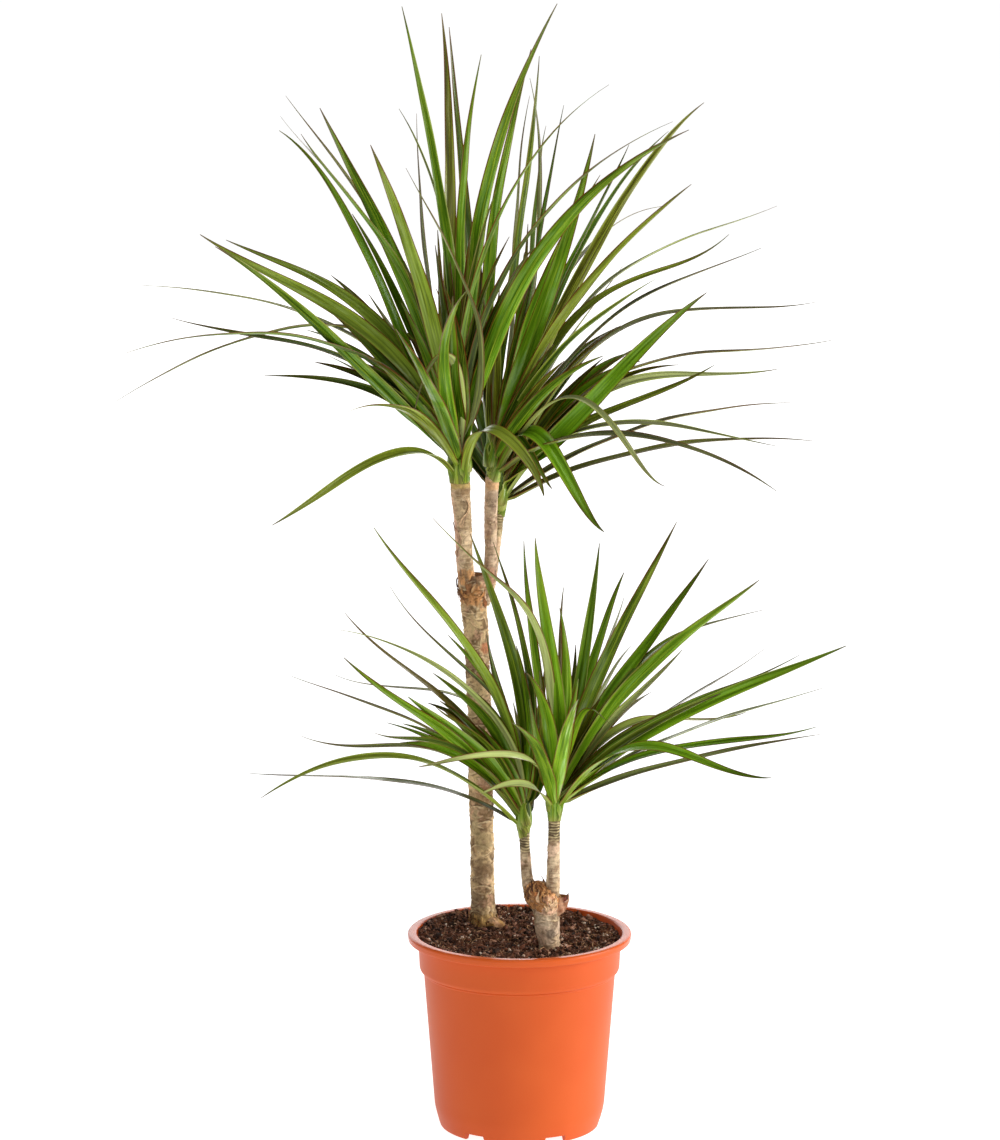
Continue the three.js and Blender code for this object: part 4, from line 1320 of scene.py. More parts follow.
SHORT_LEFT_SHOOT = Stem(
    rows=(
        (11, 172, 5.6), (7.4, 184, 4.9), (5.6, 194, 4.2), (4.7, 206, 3.9), (3.9, 216, 3.8),
        (3.6, 227.5, 3.9),
    ),
    depth=(-23.0, -16.0),
    base=(198, 174, 142),
    shade=(122, 98, 72),
    third=(214, 178, 150),
    patches=(Patch(-80, 178, 90, 8, (190, 128, 82), 0.8, 0.4),),
    fresh=21,
    ring_depth=0.3,
    sides=72,
    seed=14,
)
SHORT_RIGHT_SHOOT = Stem(
    rows=(
        (24, 174, 6.2), (25.2, 186, 5.4), (25.6, 198, 5), (25.8, 212, 4.6), (26, 226, 4.5),
        (26.1, 240.8, 4.6),
    ),
    depth=(-26.0, -34.0),
    base=(210, 186, 152),
    shade=(150, 122, 94),
    third=(214, 180, 152),
    fresh=24,
    ring_depth=0.3,
    sides=72,
    seed=15,
)
BROKEN_STUB = Stem(
    rows=((26.5, 162, 3.0), (29.5, 166.5, 4.8), (30.8, 170, 5.4), (31.4, 174, 5.4), (31.6, 178, 4.6)),
    depth=(-26.0, -26.0),
    base=(214, 164, 130),
    shade=(150, 98, 68),
    third=(220, 176, 144),
    rings=0,
    fresh=0,
    hollow=3.0,
    rough=1.2,
    patches=(Patch(-40, 177, 34, 3.4, (96, 44, 38), 0.9, 0.4),),
    sides=56,
    seed=16,
)
TALL_CANE = Cane(
    "tall_cane",
    "cane_bark",
    (TALL_TRUNK, TALL_LEFT_SHOOT, TALL_MIDDLE_SHOOT, TALL_RIGHT_SHOOT, ROOT_FLANGE),
    (
        Flake(-100, 462, 26, 2.6, -4, 0.6, (214, 176, 136), 1),
        Flake(195, 440, 30, 3.2, 2, 0.4, (206, 164, 132), 1),
        Flake(-40, 402, 9, 4, 20, 1.4, (150, 92, 52)),
        Flake(-150, 410, 14, 3.4, -6, 1.2, (112, 76, 50)),
        Flake(-170, 416, 11, 3, 10, 1.6, (96, 62, 42)),
        Flake(-60, 161, 11, 4.5, 150, 1.6, (186, 148, 84)),
        Flake(-50, 154, 10, 4, 120, 1.8, (206, 158, 118)),
        Flake(-110, 158, 9, 3.8, 170, 1.8, (164, 120, 66), 4),
        Flake(-60, 152, 8, 3.6, 150, 2.2, (216, 170, 128), 4),
        Flake(-80, 149, 8, 3.4, 120, 2.0, (112, 78, 46), 4),
    ),
    (
        Tuft(
            147, 160, 30, (5, 10), (2, 3.8), (0.6, 2.4), 75,
            ((186, 142, 80), (118, 84, 48), (216, 168, 122), (150, 108, 60)), seed=31,
        ),
        Tuft(
            405, 421, 22, (6, 11), (1.8, 3.4), (0.3, 1.2), 30,
            ((188, 132, 80), (140, 96, 62), (208, 162, 112)), seed=32,
        ),
    ),
)

SHORT_CANE = Cane(
    "short_cane",
    "grey_bark",
    (SHORT_TRUNK, SHORT_LEFT_SHOOT, SHORT_RIGHT_SHOOT, BROKEN_STUB),
    (
        Flake(-135, 183, 9, 5, -10, 0.8, (104, 70, 50)),
        Flake(-112, 184.5, 8.5, 3.6, 4, 0.4, (120, 80, 54)),
        Flake(-92, 184, 7.5, 3.4, 16, 0.5, (158, 104, 62)),
        Flake(-60, 182.5, 8, 4, 10, 0.5, (170, 118, 76)),
        Flake(60, 183, 9, 4.4, -8, 0.8, (128, 86, 58)),
        Flake(150, 184, 8, 4, 6, 0.8, (112, 76, 54)),
        Flake(-30, 174, 5.5, 4, 8, 0.6, (196, 150, 122), 3),
        Flake(30, 174, 6, 4, -6, 0.8, (120, 76, 60), 3),
        Flake(110, 173, 5.5, 4, -10, 0.8, (136, 92, 70), 3),
    ),
    (
        Tuft(
            166, 178, 56, (5, 10), (1.2, 2.8), (0.2, 0.9), 30,
            ((230, 178, 118), (210, 154, 98), (192, 136, 84), (240, 200, 156)), seed=41,
        ),
        Tuft(
            178, 184, 24, (4, 8), (1.4, 2.8), (0.5, 1.6), 22,
            ((206, 148, 92), (164, 114, 72), (222, 168, 112)), seed=42,
        ),
    ),
)


# ---------------------------------------------------------------- leaves


class Tone(Enum):
    """Display colour of the leaf face that the camera sees, with light and shade painted in: the bright tone
    is painted light on leaves that face the light, the dark and shade tones are painted shade on leaves in
    shadow, and the grey tone is the painted sheen of leaves seen edge-on.
    """

    # painted shade: a leaf in shadow
    DARK = (46, 68, 3)
    GREEN = (72, 110, 4)
    # painted sheen: a leaf seen edge-on
    GREY = (92, 96, 56)
    LIGHT = (110, 131, 38)
    OLIVE = (106, 118, 32)
    # painted light: a leaf that faces the light
    BRIGHT = (82, 122, 8)
    PALE = (144, 152, 96)
    MAROON = (76, 76, 12)
    SHADE = (40, 48, 6)
    BROWN = (92, 72, 38)


DARK, GREEN, GREY, LIGHT, OLIVE, BRIGHT, PALE, MAROON, SHADE, BROWN = Tone


@dataclass(frozen=True)
class Leaf:
    """One leaf: how far its tip lies behind its root, its width, the share of the width that shows
    from the front, and the points it passes through at even steps, as x, z in elevation."""

    depth: float
    width: float
    shown: float
    points: tuple[float, ...]
    tone: Tone


def leaves(*rows: tuple) -> tuple[Leaf, ...]:
    """Leaves from rows of depth, width, shown, tone and the numbers of their points."""
    return tuple(Leaf(depth, width, shown, tuple(at), tone) for depth, width, shown, tone, *at in rows)


@dataclass(frozen=True)
class Boundary:
    """A slanting wall in plan between the spaces of neighbouring heads: its depth over x."""

    x: float
    y: float
    left: float
    right: float

    def depth(self, x: Array) -> Array:
        """Depth of the wall at x."""
        return self.y + np.where(x < self.x, self.left, self.right) * (x - self.x)

    def reach(self, clearance: float) -> float:
        """How far along y a clearance reaches on the wall's steeper side."""
        return clearance * math.hypot(1, max(abs(self.left), abs(self.right)))


FRONT = Boundary(-32, 30, -0.5, -0.75)
BACK = Boundary(-15, 53, -0.5, -0.15)
SHORT = Boundary(15, -26, 1, 2)


@dataclass(frozen=True)
class LeafForm:
    """What all leaves share, in millimetres and in shares of a leaf's length."""

    tip: float = 0.55  # width of the tip
    root_width: float = 0.5  # share of the full width at the sheath
    spread: float = 0.22  # share over which the blade reaches its full width
    sunk: float = 2.4  # depth of a root inside the bundle
    taper: float = 2.3
    settle: float = 0.4  # share over which the blade turns to its own roll
    clear: float = 1.4  # from the leaf's listed width to the next head's space
    soften: float = 6.0
    edge: float = 0.13  # half the thickness at the edges
    rib: float = 0.36  # half the thickness at the midrib
    sheath: float = 12.0
    clasp: float = 78.0  # degrees to each side of the leaf at its foot
    keel: float = 0.5  # how proud the middle of a sheath stands
    merge: float = 9.0  # length over which the blade leaves its sheath
    rows: int = 44
    sheath_rows: int = 10
    across: int = 11
    own_step: float = 3.7  # between the numbers that give leaves their own grain
    widen: float = 1.12  # of every blade, past its listed width
    open_gap: float = 0.26  # widest angle between two leaves that has a filling leaf, radians
    low_lean: float = 1.12  # lean past which no filling leaf grows, radians


FORM = LeafForm()
THIRDS = np.array([1, 2, 3]) / 3


@dataclass(frozen=True)
class Head:
    """A crown of leaves on a shoot: its place in elevation, its depth and its bundle of sheaths."""

    name: str
    x: float
    z: float
    y: float
    radius: float
    height: float
    leaves: tuple[Leaf, ...]
    stem: float  # radius of the shoot that carries it
    tint: float = 1.0  # how much lighter than their tone its leaves are, painted light on the lower heads
    below: Boundary | None = None
    above: Boundary | None = None

    def core_radius(self, share: Array) -> Array:
        """Radius of the bundle at a share of its height: it narrows as the square of the share."""
        return self.radius * (1 - 0.62 * np.clip(share, 0, 1) ** 2)

    def bundle(self, height: Array) -> Array:
        """Radius of the bundle at a height above its foot, where it is as slim as the shoot."""
        swell = smooth(height / 15)
        return self.stem - 0.25 + (self.core_radius(height / self.height) - self.stem + 0.25) * swell

    def keep_clear(self, x: Array, y: Array, clearance: float) -> Array:
        """Depth y eased back to its own side of the neighbouring heads' walls. Past a wall the
        distance d is replaced by (d + sqrt(d^2 + soften^2)) / 2, which never reaches zero."""
        kept = y
        for wall, side in ((self.below, -1), (self.above, 1)):
            if wall:
                limit = wall.depth(x) + side * wall.reach(clearance)
                d = side * (kept - limit)
                kept = limit + side * (d + np.hypot(d, FORM.soften)) / 2
        return kept

    def shell(self, number: int) -> Shell:
        """All leaves and the bundle they grow from, as one shell."""
        draw = np.random.default_rng(100 + number)
        outer = [Blade(self, leaf, i, draw) for i, leaf in enumerate(self.leaves)]
        fill = self.inner_leaves(outer, draw)
        inner = [Blade(self, leaf, i, draw) for i, leaf in enumerate(fill, len(outer))]
        return Shell.joined([self.core(), *(blade.shell() for blade in outer + inner)])

    def inner_leaves(self, outer: list["Blade"], draw: np.random.Generator) -> list[Leaf]:
        """Shorter leaves that fill the middle of the crown, in mostly dark tones as painted shade there: one
        between each leaf and its neighbour in the elevation, which runs halfway between them for a part of
        their length. An open gap stays open, and so does the space between level leaves.

        Args:
            outer: the leaves that the photograph shows.
            draw: random generator.

        Returns:
            The extra leaves.
        """
        fan = sorted(outer, key=Blade.lean)
        made = []
        for first, second in zip(fan, fan[1:]):
            gap, middle = second.lean() - first.lean(), (second.lean() + first.lean()) / 2
            if gap > FORM.open_gap or abs(middle) > FORM.low_lean:
                continue
            part = draw.uniform(0.36, 0.66)
            x, z = (first.elevation(part * THIRDS) + second.elevation(part * THIRDS)) / 2
            depth = part * (first.leaf.depth + second.leaf.depth) / 2 + draw.uniform(-25, 25)
            width = draw.uniform(8.5, 12.0)
            # painted shade: the filling leaves take mostly dark tones
            tone = (DARK, MAROON, SHADE, GREEN)[draw.integers(4)]
            points = tuple(np.stack([x, z], axis=-1).ravel())
            made.append(Leaf(depth, width, draw.uniform(0.6, 0.95), points, tone))
        return made

    def core(self) -> Shell:
        """The bundle of sheaths: a tapering round body with shallow flutes where sheaths overlap."""
        share = np.linspace(0, 1, 40)
        angle = circle(48)
        flutes = 0.2 * np.sin(3 * angle[None] + 5 * share[:, None]) - 0.1
        slim = self.bundle(share * self.height)[:, None]
        radius = (slim + flutes) * (1 - between(0.9, 1.0, share) * 0.9)[:, None]
        centre = CAMERA.seen(self.x + 0 * share, self.z + share * self.height, self.y + 0 * share)
        grid = centre[:, None] + polar(angle)[None] * radius[..., None]
        low = stained(linear(128, 120, 56), (52, 72, 16), between(0.0, 0.16, share))
        colour = np.broadcast_to(low[:, None], grid.shape[:2] + (4,))
        blade = np.zeros(grid.shape) + [0, 0, 6.0]
        blade[..., 1] = share[:, None] * self.height
        return Shell.tube(grid, {"colour": colour, "blade": blade, "state": np.zeros(grid.shape)})

    def build(self, number: int, material: bpy.types.Material) -> None:
        """Makes the crown, which stands for the head's node."""
        seat(self.shell(number).piece(f"{self.name}_leaves", material, 50), "leaf", self.name)


class Blade:
    """One leaf as a surface: a sheath that clasps the bundle and runs out into a channelled blade."""

    def __init__(self, head: Head, leaf: Leaf, number: int, draw: np.random.Generator) -> None:
        """Works out the centre line and the roll that shows the given share of the width."""
        self.head = head
        self.leaf = leaf
        self.number = number
        self.channel = draw.uniform(0.15, 0.42)
        self.wave = draw.uniform(0.3, 1.0)
        self.phase = draw.uniform(0, 2 * np.pi)
        self.twist = draw.uniform(-0.16, 0.16)
        self.hue = draw.uniform(-1, 1)
        self.browning = draw.uniform(0, 1)
        points = np.array(leaf.points).reshape(-1, 2)
        across, up = points[-1] - [head.x, head.z]
        lift = max(0.0, up / math.sqrt(across**2 + up**2 + leaf.depth**2))
        self.share = 0.05 + 0.62 * lift
        self.drop = draw.uniform(0, 1)
        self.turn = math.atan2(leaf.depth, across)
        self.offset = max(0.6, float(head.core_radius(np.array(self.share))) - FORM.sunk)
        root = [head.x + self.offset * math.cos(self.turn), head.z + head.height * self.share]
        self.controls = self.control_points(np.vstack([root, points]))
        self.clearance = leaf.width / 2 + FORM.clear
        ends = self.at(np.array([0.0, 1.0]))
        span = ends[1] - ends[0]
        self.flat = unit(np.array([-span[1], span[0], 0.0]))
        self.roll = self.find_roll()

    @staticmethod
    def control_points(p: Array) -> Array:
        """Control points of the Bezier curve that passes through the points at even steps."""
        if len(p) == 3:
            return np.array([p[0], 2 * p[1] - (p[0] + p[2]) / 2, p[2]])
        near = (-5 * p[0] + 18 * p[1] - 9 * p[2] + 2 * p[3]) / 6
        far = (-5 * p[3] + 18 * p[2] - 9 * p[1] + 2 * p[0]) / 6
        return np.array([p[0], near, far, p[3]])

    def elevation(self, t: Array) -> Array:
        """The x row and z row of the centre line in elevation at shares t: a Bezier curve."""
        degree = len(self.controls) - 1
        weights = np.stack([math.comb(degree, k) * t**k * (1 - t) ** (degree - k) for k in range(degree + 1)])
        return self.controls.T @ weights

    def lean(self) -> float:
        """The leaf's angle from straight up in elevation, clockwise."""
        x, z = self.elevation(np.array([1.0]))
        return math.atan2(x[0] - self.head.x, z[0] - self.head.z)

    def at(self, t: Array) -> Array:
        """The centre line at shares t of the leaf: the elevation's curve, pushed along its sight
        lines to a depth that grows evenly and keeps to the head's own space."""
        x, z = self.elevation(t)
        start = self.offset * math.sin(self.turn)
        free = self.head.y + start + (self.leaf.depth - start) * t
        return CAMERA.seen(x, z, self.head.keep_clear(x, free, self.clearance))

    def frame(self, t: Array) -> tuple[Array, Array, Array]:
        """Directions along the leaf, level across it, and out of its upper face, at shares t."""
        tangent = unit(self.at(np.minimum(1, t + 0.02)) - self.at(np.maximum(0, t - 0.02)))
        side = unit(self.flat - (tangent @ self.flat)[:, None] * tangent)
        return tangent, side, unit(np.cross(tangent, side))

    def find_roll(self) -> float:
        """The smallest turn about the centre line after which the middle of the leaf shows the
        given share of its width."""
        _, side, normal = self.frame(np.array([0.5]))
        sight = unit(self.at(np.array([0.5]))[0] - CAMERA.place())
        phase = math.atan2(sight @ side[0], sight @ normal[0])
        fan = math.acos(self.leaf.shown)
        rolls = [phase + sign * fan + k * math.pi for k in (-1, 0, 1) for sign in (1, -1)]
        return min(rolls, key=abs)

    def half_width(self, t: Array) -> Array:
        """Half the width: it rises over the first part and falls to the tip as 1 - t^taper."""
        rise = FORM.root_width + (1 - FORM.root_width) * smooth(t / FORM.spread)
        return (FORM.tip + (FORM.widen * self.leaf.width - FORM.tip) * rise * (1 - t**FORM.taper)) / 2

    def shell(self) -> Shell:
        """Rings of the leaf's section from the foot of its sheath to its tip.

        A point of the blade is centre + across * u * half + out * (channel * half * (|u|^1.3 - 0.43)
        +- thickness). A point of the sheath is axis + radius * (cos, sin) of the leaf's turn + clasp * u.
        The first stretch of the blade runs from one to the other.

        Returns:
            The closed shell with the values that the leaf's finish reads.
        """
        u = np.linspace(1, -1, FORM.across)
        around = np.concatenate([u, u[::-1]])
        face = np.repeat([1.0, -1.0], FORM.across)
        t = np.linspace(0, 1, FORM.rows) ** 1.15
        line = self.at(t)
        _, side, normal = self.frame(t)
        length = np.concatenate([[0], np.cumsum(np.linalg.norm(np.diff(line, axis=0), axis=1))])
        turn = self.roll * smooth(t / FORM.settle) + self.twist * np.sin(np.pi * t)
        across = side * np.cos(turn)[:, None] - normal * np.sin(turn)[:, None]
        out = normal * np.cos(turn)[:, None] + side * np.sin(turn)[:, None]
        half = self.half_width(t)
        sway = self.wave * np.sin(2 * np.pi * length / 90 + self.phase) * t * (1 - t) * 2
        deep = (1 + 1.5 * between(0.25, 0, t))[:, None]
        curve = self.channel * half[:, None] * (np.abs(around) ** 1.3 - 0.43) * deep
        wide = np.minimum(1, half / 4)[:, None]
        ripple = 0.35 * np.sin(length[:, None] / 17 + around * 1.3 + self.phase) * around**2 * wide
        stout = np.clip(half / 3, 0.3, 1)[:, None]
        body = (FORM.edge + (FORM.rib - FORM.edge) * (1 - around**2) ** 2) * stout
        lift = curve + ripple + face * body + sway[:, None]
        grid = line[:, None] + across[:, None] * (around * half[:, None])[..., None]
        grid = grid + out[:, None] * lift[..., None]
        foot = self.sheath(around, face, length, half)
        share = between(0, FORM.merge, length)[:, None, None]
        below, beside = foot[: FORM.sheath_rows], foot[FORM.sheath_rows :]
        grid = np.concatenate([below, beside * (1 - share) + grid * share])
        return self.coloured(grid, around, face, t, length, half, out)

    def sheath(self, around: Array, face: Array, length: Array, half: Array) -> Array:
        """The clasping foot, below the blade and alongside its first stretch.

        Args:
            around: place across the leaf of each point of a ring, -1 to 1.
            face: 1 for the inner face and -1 for the outer.
            length: along the blade.
            half: half its width.

        Returns:
            Rings of the sheath, then one for each row of the blade.
        """
        head = self.head
        root = head.z + head.height * self.share
        low = max(head.z + 0.6 - 1.8 * self.drop, root - FORM.sheath)
        down = np.linspace(low, root, FORM.sheath_rows, endpoint=False)
        up = root + np.minimum(length, FORM.merge)
        height = np.concatenate([down, up])
        centre = CAMERA.seen(head.x + 0 * height, height, head.y + 0 * height)
        proud = 0.2 + 0.9 * (1 - self.share) + 0.4 * self.drop
        proud = proud * (0.2 + 0.8 * between(-1, 12, height - head.z))
        radius = head.bundle(height - head.z) + proud
        width = half[0] / radius
        closed = np.clip((root + 2 - height) / (root + 2 - low), 0, 1) ** 1.4
        clasp = math.radians(FORM.clasp) * closed + width
        azimuth = math.atan2(self.flat[1], self.flat[0]) - np.pi / 2
        angle = azimuth + clasp[:, None] * around
        thick = 0.3 * np.cos(around * np.pi / 2 * 0.9) + 0.14
        keel = FORM.keel * (1 - around**2) ** 2 * between(-2, 5, height - low)[:, None]
        reach = radius[:, None] + keel - face * thick - 0.4 * np.abs(around) ** 2
        edge = (1.8 * (1 - around**2) + 1.5 * self.hue * around) * between(root, low, height)[:, None]
        grid = centre[:, None] + polar(angle) * reach[..., None]
        grid[..., 2] -= edge
        return grid

    def coloured(
        self, grid: Array, around: Array, face: Array, t: Array, length: Array, half: Array, out: Array
    ) -> Shell:
        """Gives the leaf's rings their colour, their place on the blade and their state.

        Args:
            grid: rings of points.
            around: place across the leaf of each point of a ring.
            face: 1 for the upper face and -1 for the lower.
            t: share of the length at each row of the blade.
            length: along the blade.
            half: half its width.
            out: direction out of the upper face.

        Returns:
            The closed shell.
        """
        rings = len(grid)
        extra = FORM.sheath_rows
        along = np.concatenate([np.linspace(-FORM.sheath, 0, extra, endpoint=False), length])
        reach = np.concatenate([np.full(extra, half[0] * 1.6), half])
        place = np.concatenate([np.zeros(extra), t])
        sight = unit(self.at(np.array([0.5]))[0] - CAMERA.place())
        seen_side = 1.0 if out[len(out) // 2] @ sight < 0 else -1.0
        # painted light: the head's tint lightens its leaves and lifts their dark tones
        lighter = self.head.tint * (1 + 0.14 * self.hue)
        painted_light_lift = linear(96, 112, 24)[:3] * (self.head.tint - 1) * 0.85
        shown = np.append(linear(*self.leaf.tone.value)[:3] * lighter + painted_light_lift, 1)
        # painted sheen: a leaf that shows little of its width from the front is greyed
        shown = stained(shown, (110, 108, 94), 0.5 * between(0.5, 0.2, np.array(self.leaf.shown)))
        hidden = stained(shown, (62, 92, 5) if seen_side < 0 else (110, 122, 44), np.array(0.5))
        upper = face * seen_side > 0
        colour = np.broadcast_to(np.where(upper[:, None], shown, hidden), (rings, len(face), 4))
        drop = np.array(self.drop)
        rows, sides = along[:, None], np.abs(around)
        foot = stained(linear(66, 108, 12), (104, 126, 40), drop)
        hem = stained(linear(150, 152, 84), (168, 140, 92), drop)
        tip = place[:, None]
        brown = between(0.955 - 0.05 * self.browning, 0.995, tip) * (0.5 + 0.5 * self.browning) + 0 * around
        for tone, share in (
            (foot, 0.8 * between(16, -2, rows)),
            (hem, 0.45 * between(-5, -12, rows)),
            # painted shade where the next sheath overlaps: one edge of each sheath darkened near its foot
            (linear(56, 76, 20), 0.5 * between(10, -2, rows) * between(0.45, 0.8, sides) * (around > 0)),
            (linear(126, 58, 34), 0.4 * between(40, 4, rows) * sides**3 * (self.hue > 0)),
            (linear(74, 66, 30), 0.45 * between(0.55, 1.0, tip)),
        ):
            colour = mixed(colour, tone, share + 0 * around)
        under = np.broadcast_to(face < 0, (rings, len(face)))
        own = np.full((rings, len(face)), self.number * FORM.own_step)
        places = np.broadcast_arrays(around * reach[:, None], along[:, None], reach[:, None])
        blade = np.stack(places, axis=-1)
        state = np.stack([under.astype(float), brown, own], axis=-1)
        return Shell.tube(grid, {"colour": colour, "blade": blade, "state": state})


TALL_LEFT_LEAVES = leaves(
    (110, 10, 0.2, DARK, -100, 602, -196, 605, -302, 554.5),
    (-130, 9, 0.3, GREEN, -105, 583, -196, 607, -292, 592),
    (125, 8.5, 0.2, GREY, -110, 595, -196, 632, -288, 643),
    (60, 11, 0.75, LIGHT, -98, 606, -155, 649, -217, 676),
    (-50, 12, 0.9, LIGHT, -100, 597, -165, 641, -236, 680),
    (-110, 11.5, 0.85, GREEN, -100, 563, -160, 622, -225, 671),
    (-50, 10, 0.4, DARK, -112, 579, -185, 603, -259, 618.5),
    (-120, 9.5, 0.75, OLIVE, -88, 518, -137, 494, -185, 462.5),
    (62, 9, 0.35, GREY, -88, 650, -127, 722, -172, 782),
    (70, 9, 0.2, GREY, -90, 652, -134, 719, -176, 767),
    (-90, 10, 0.5, GREEN, -78, 633, -120, 700, -161, 754),
    (20, 9.5, 0.75, GREEN, -82, 592, -124, 688, -177, 756.5),
    (-60, 13, 0.95, GREEN, -72, 612, -108, 695, -147, 773),
    (-150, 13, 0.95, LIGHT, -63, 605, -86, 683, -110, 746),
    (0, 9, 0.4, DARK, -50, 607, -58, 692, -89, 772.5),
    (20, 9, 0.25, SHADE, -62, 600, -72, 685, -76, 769),
    (-140, 7.5, 0.45, PALE, -29, 592, -46, 656, -84, 729),
    (-45, 10.5, 0.85, BRIGHT, -49, 628, -64, 738, -86.5, 847),
    (0, 12, 0.9, MAROON, -52, 622, -52, 735, -57.5, 842),
    (-70, 9.5, 0.8, GREEN, -44, 625, -42, 715, -28.5, 812),
    (-110, 13, 0.9, GREEN, -36, 640, -17, 743, 27, 849),
    (-150, 8, 0.35, GREEN, -42, 605, -8, 708, 65, 790),
    (-150, 13, 0.9, GREEN, -13, 615, 40, 697, 124, 757),
    (-130, 8.5, 0.35, DARK, -27, 615, 25, 702, 112, 763),
    (-95, 12.5, 0.9, OLIVE, -24, 535, 2, 517, 18, 484.5),
    (-120, 7.5, 0.8, PALE, -46, 575, -60, 590, -78, 550),
    (-210, 11, 0.8, GREEN, -64, 560, -92, 610),
    (-200, 11, 0.8, GREEN, -56, 590, -38, 640),
    (-170, 10, 0.7, OLIVE, -82, 548, -128, 548),
    (60, 10, 0.7, DARK, -100, 560, -190, 575),
    (90, 11, 0.7, DARK, -95, 600, -140, 650),
)
TALL_MIDDLE_LEAVES = leaves(
    (10, 10, 0.8, DARK, -33, 622, -43, 728, -52, 832),
    (-14, 11, 0.85, GREEN, -24, 625, -15, 715, 8, 816),
    (-6, 9.5, 0.7, DARK, -10, 610, 4, 712, 14, 811),
    (-62, 13.5, 1, BRIGHT, 6, 594, 32, 669, 55, 754),
    (-10, 10, 0.6, GREEN, 5, 610, 30, 672, 59, 724),
    (-70, 12, 0.75, MAROON, 20, 600, 74, 702, 135, 777),
    (-105, 10.5, 0.75, OLIVE, 20, 600, 70, 666, 126, 717),
    (-95, 9.5, 0.5, DARK, 16, 577, 57, 618, 100, 647),
    (-120, 9, 0.35, GREY, 45, 530, 120, 523, 191, 488.5),
    (-65, 14, 0.95, BRIGHT, 11, 532, 37, 496, 63, 457.5),
    (-110, 7.5, 0.75, PALE, 38, 559, 76, 528, 108, 492),
    (-34, 9, 0.75, DARK, -6, 531, 10, 513, 24, 490),
    (-130, 10, 0.8, GREEN, 16, 560, 62, 590),
)
TALL_RIGHT_LEAVES = leaves(
    (50, 8, 0.45, PALE, 6, 610, 15, 712, 7, 795),
    (130, 8, 0.3, PALE, -6, 600, -2, 700, 7, 782),
    (160, 9, 0.35, GREEN, 4, 610, 12, 700, 19, 760),
    (30, 9, 0.5, GREEN, 2, 600, 17, 693, 32, 775),
    (20, 10, 0.5, GREEN, 12, 600, 47, 679, 80, 746),
    (100, 9, 0.45, GREEN, 22, 620, 66, 706, 109, 756),
    (150, 8, 0.3, GREY, 20, 622, 65, 684, 108, 701),
    (120, 8.5, 0.22, GREY, 42, 620, 112, 673, 189, 701),
    (80, 9.5, 0.5, OLIVE, 38, 614, 97, 651, 154, 680),
    (15, 8.5, 0.28, DARK, 45, 597, 112, 644, 178, 670),
    (170, 8, 0.35, GREY, 14, 565, 45, 615, 76, 657),
    (-16, 9.5, 0.28, GREY, 60, 600, 138, 625, 219, 630),
    (70, 9.5, 0.28, GREY, 62, 571, 146, 593, 233, 602),
    (-20, 14, 1, BRIGHT, 35, 537, 85, 590, 138, 637),
    (110, 10.5, 0.55, PALE, 55, 560, 122, 576, 191, 580),
    (20, 10.5, 0.6, OLIVE, 40, 535, 93, 559, 144, 583),
    (150, 8.5, 0.25, GREY, 58, 524, 130, 547, 201, 555),
    (-18, 8.5, 0.3, GREY, 45, 534, 118, 537, 190, 522.5),
    (40, 9.5, 0.35, MAROON, 57, 510, 138, 526, 219, 526),
    (205, 11, 0.8, GREEN, -14, 545, -18, 600),
    (185, 11, 0.8, DARK, -34, 560, -62, 640),
    (215, 11, 0.8, GREEN, 4, 540, 22, 568),
    (195, 10, 0.8, DARK, -54, 545, -102, 598),
    (180, 11, 0.8, DARK, 14, 570, 42, 640),
    (150, 10, 0.8, GREEN, -28, 590, -46, 692),
    (200, 10, 0.8, DARK, 22, 540, 62, 560),
    (225, 10, 0.8, GREEN, -40, 525, -70, 566),
    (150, 10, 0.8, DARK, -62, 560, -112, 636),
    (230, 10, 0.8, DARK, -24, 512, -30, 535),
    (150, 10, 0.6, DARK, -72, 545, -142, 590),
    (190, 9, 0.6, GREEN, 40, 560, 96, 600),
)
SHORT_LEFT_LEAVES = leaves(
    (-60, 9.5, 0.8, LIGHT, -20, 338, -64, 403, -109, 461),
    (-14, 8, 0.3, DARK, -13, 322, -52, 364, -97, 416),
    (-10, 12, 0.85, DARK, 4, 316, -12, 384, -37, 456),
    (-26, 8.5, 0.7, DARK, 9, 316, 2, 376, -20, 450),
    (20, 9, 0.5, BROWN, -42, 316, -86, 354, -131, 396),
    (-60, 8, 0.45, PALE, -17, 313, -72, 361, -134.5, 383),
    (-80, 10, 0.85, GREEN, -46, 296, -88, 327, -132, 362),
    (-50, 11.5, 0.9, BRIGHT, -24, 282, -54, 309, -84, 332),
    (30, 7.5, 0.3, PALE, -30, 322, -84, 339, -139, 349),
    (90, 8, 0.25, GREY, -53, 297, -113, 327, -172, 348),
    (-26, 10, 0.8, GREEN, -14, 296, -38, 328, -65, 350),
    (-66, 9, 0.5, DARK, -20, 289, -42, 309, -63, 324),
    (-90, 9, 0.4, DARK, -40, 288, -76, 299, -109, 304),
    (-40, 8.5, 0.3, GREY, -55, 288, -110, 294, -165, 302),
    (-80, 9, 0.45, OLIVE, -72, 282, -140, 281, -195, 254),
    (80, 8.5, 0.3, GREY, -65, 262.5, -135, 270.5, -204, 273),
    (4, 8.5, 0.65, DARK, -6, 300, -17, 342, -25, 382),
    (175, 10, 0.8, GREEN, 6, 290, 10, 332),
    (195, 10, 0.8, DARK, 2, 270, -4, 300),
    (150, 10, 0.8, DARK, 13, 300, 20, 362),
    (66, 10, 0.7, GREEN, -40, 284, -100, 312),
    (190, 9, 0.8, DARK, 8, 262, 12, 285),
    (30, 11, 0.9, GREEN, 14, 266, 21, 292, 27, 322),
    (60, 10, 0.85, DARK, 12, 280, 21, 332),
)
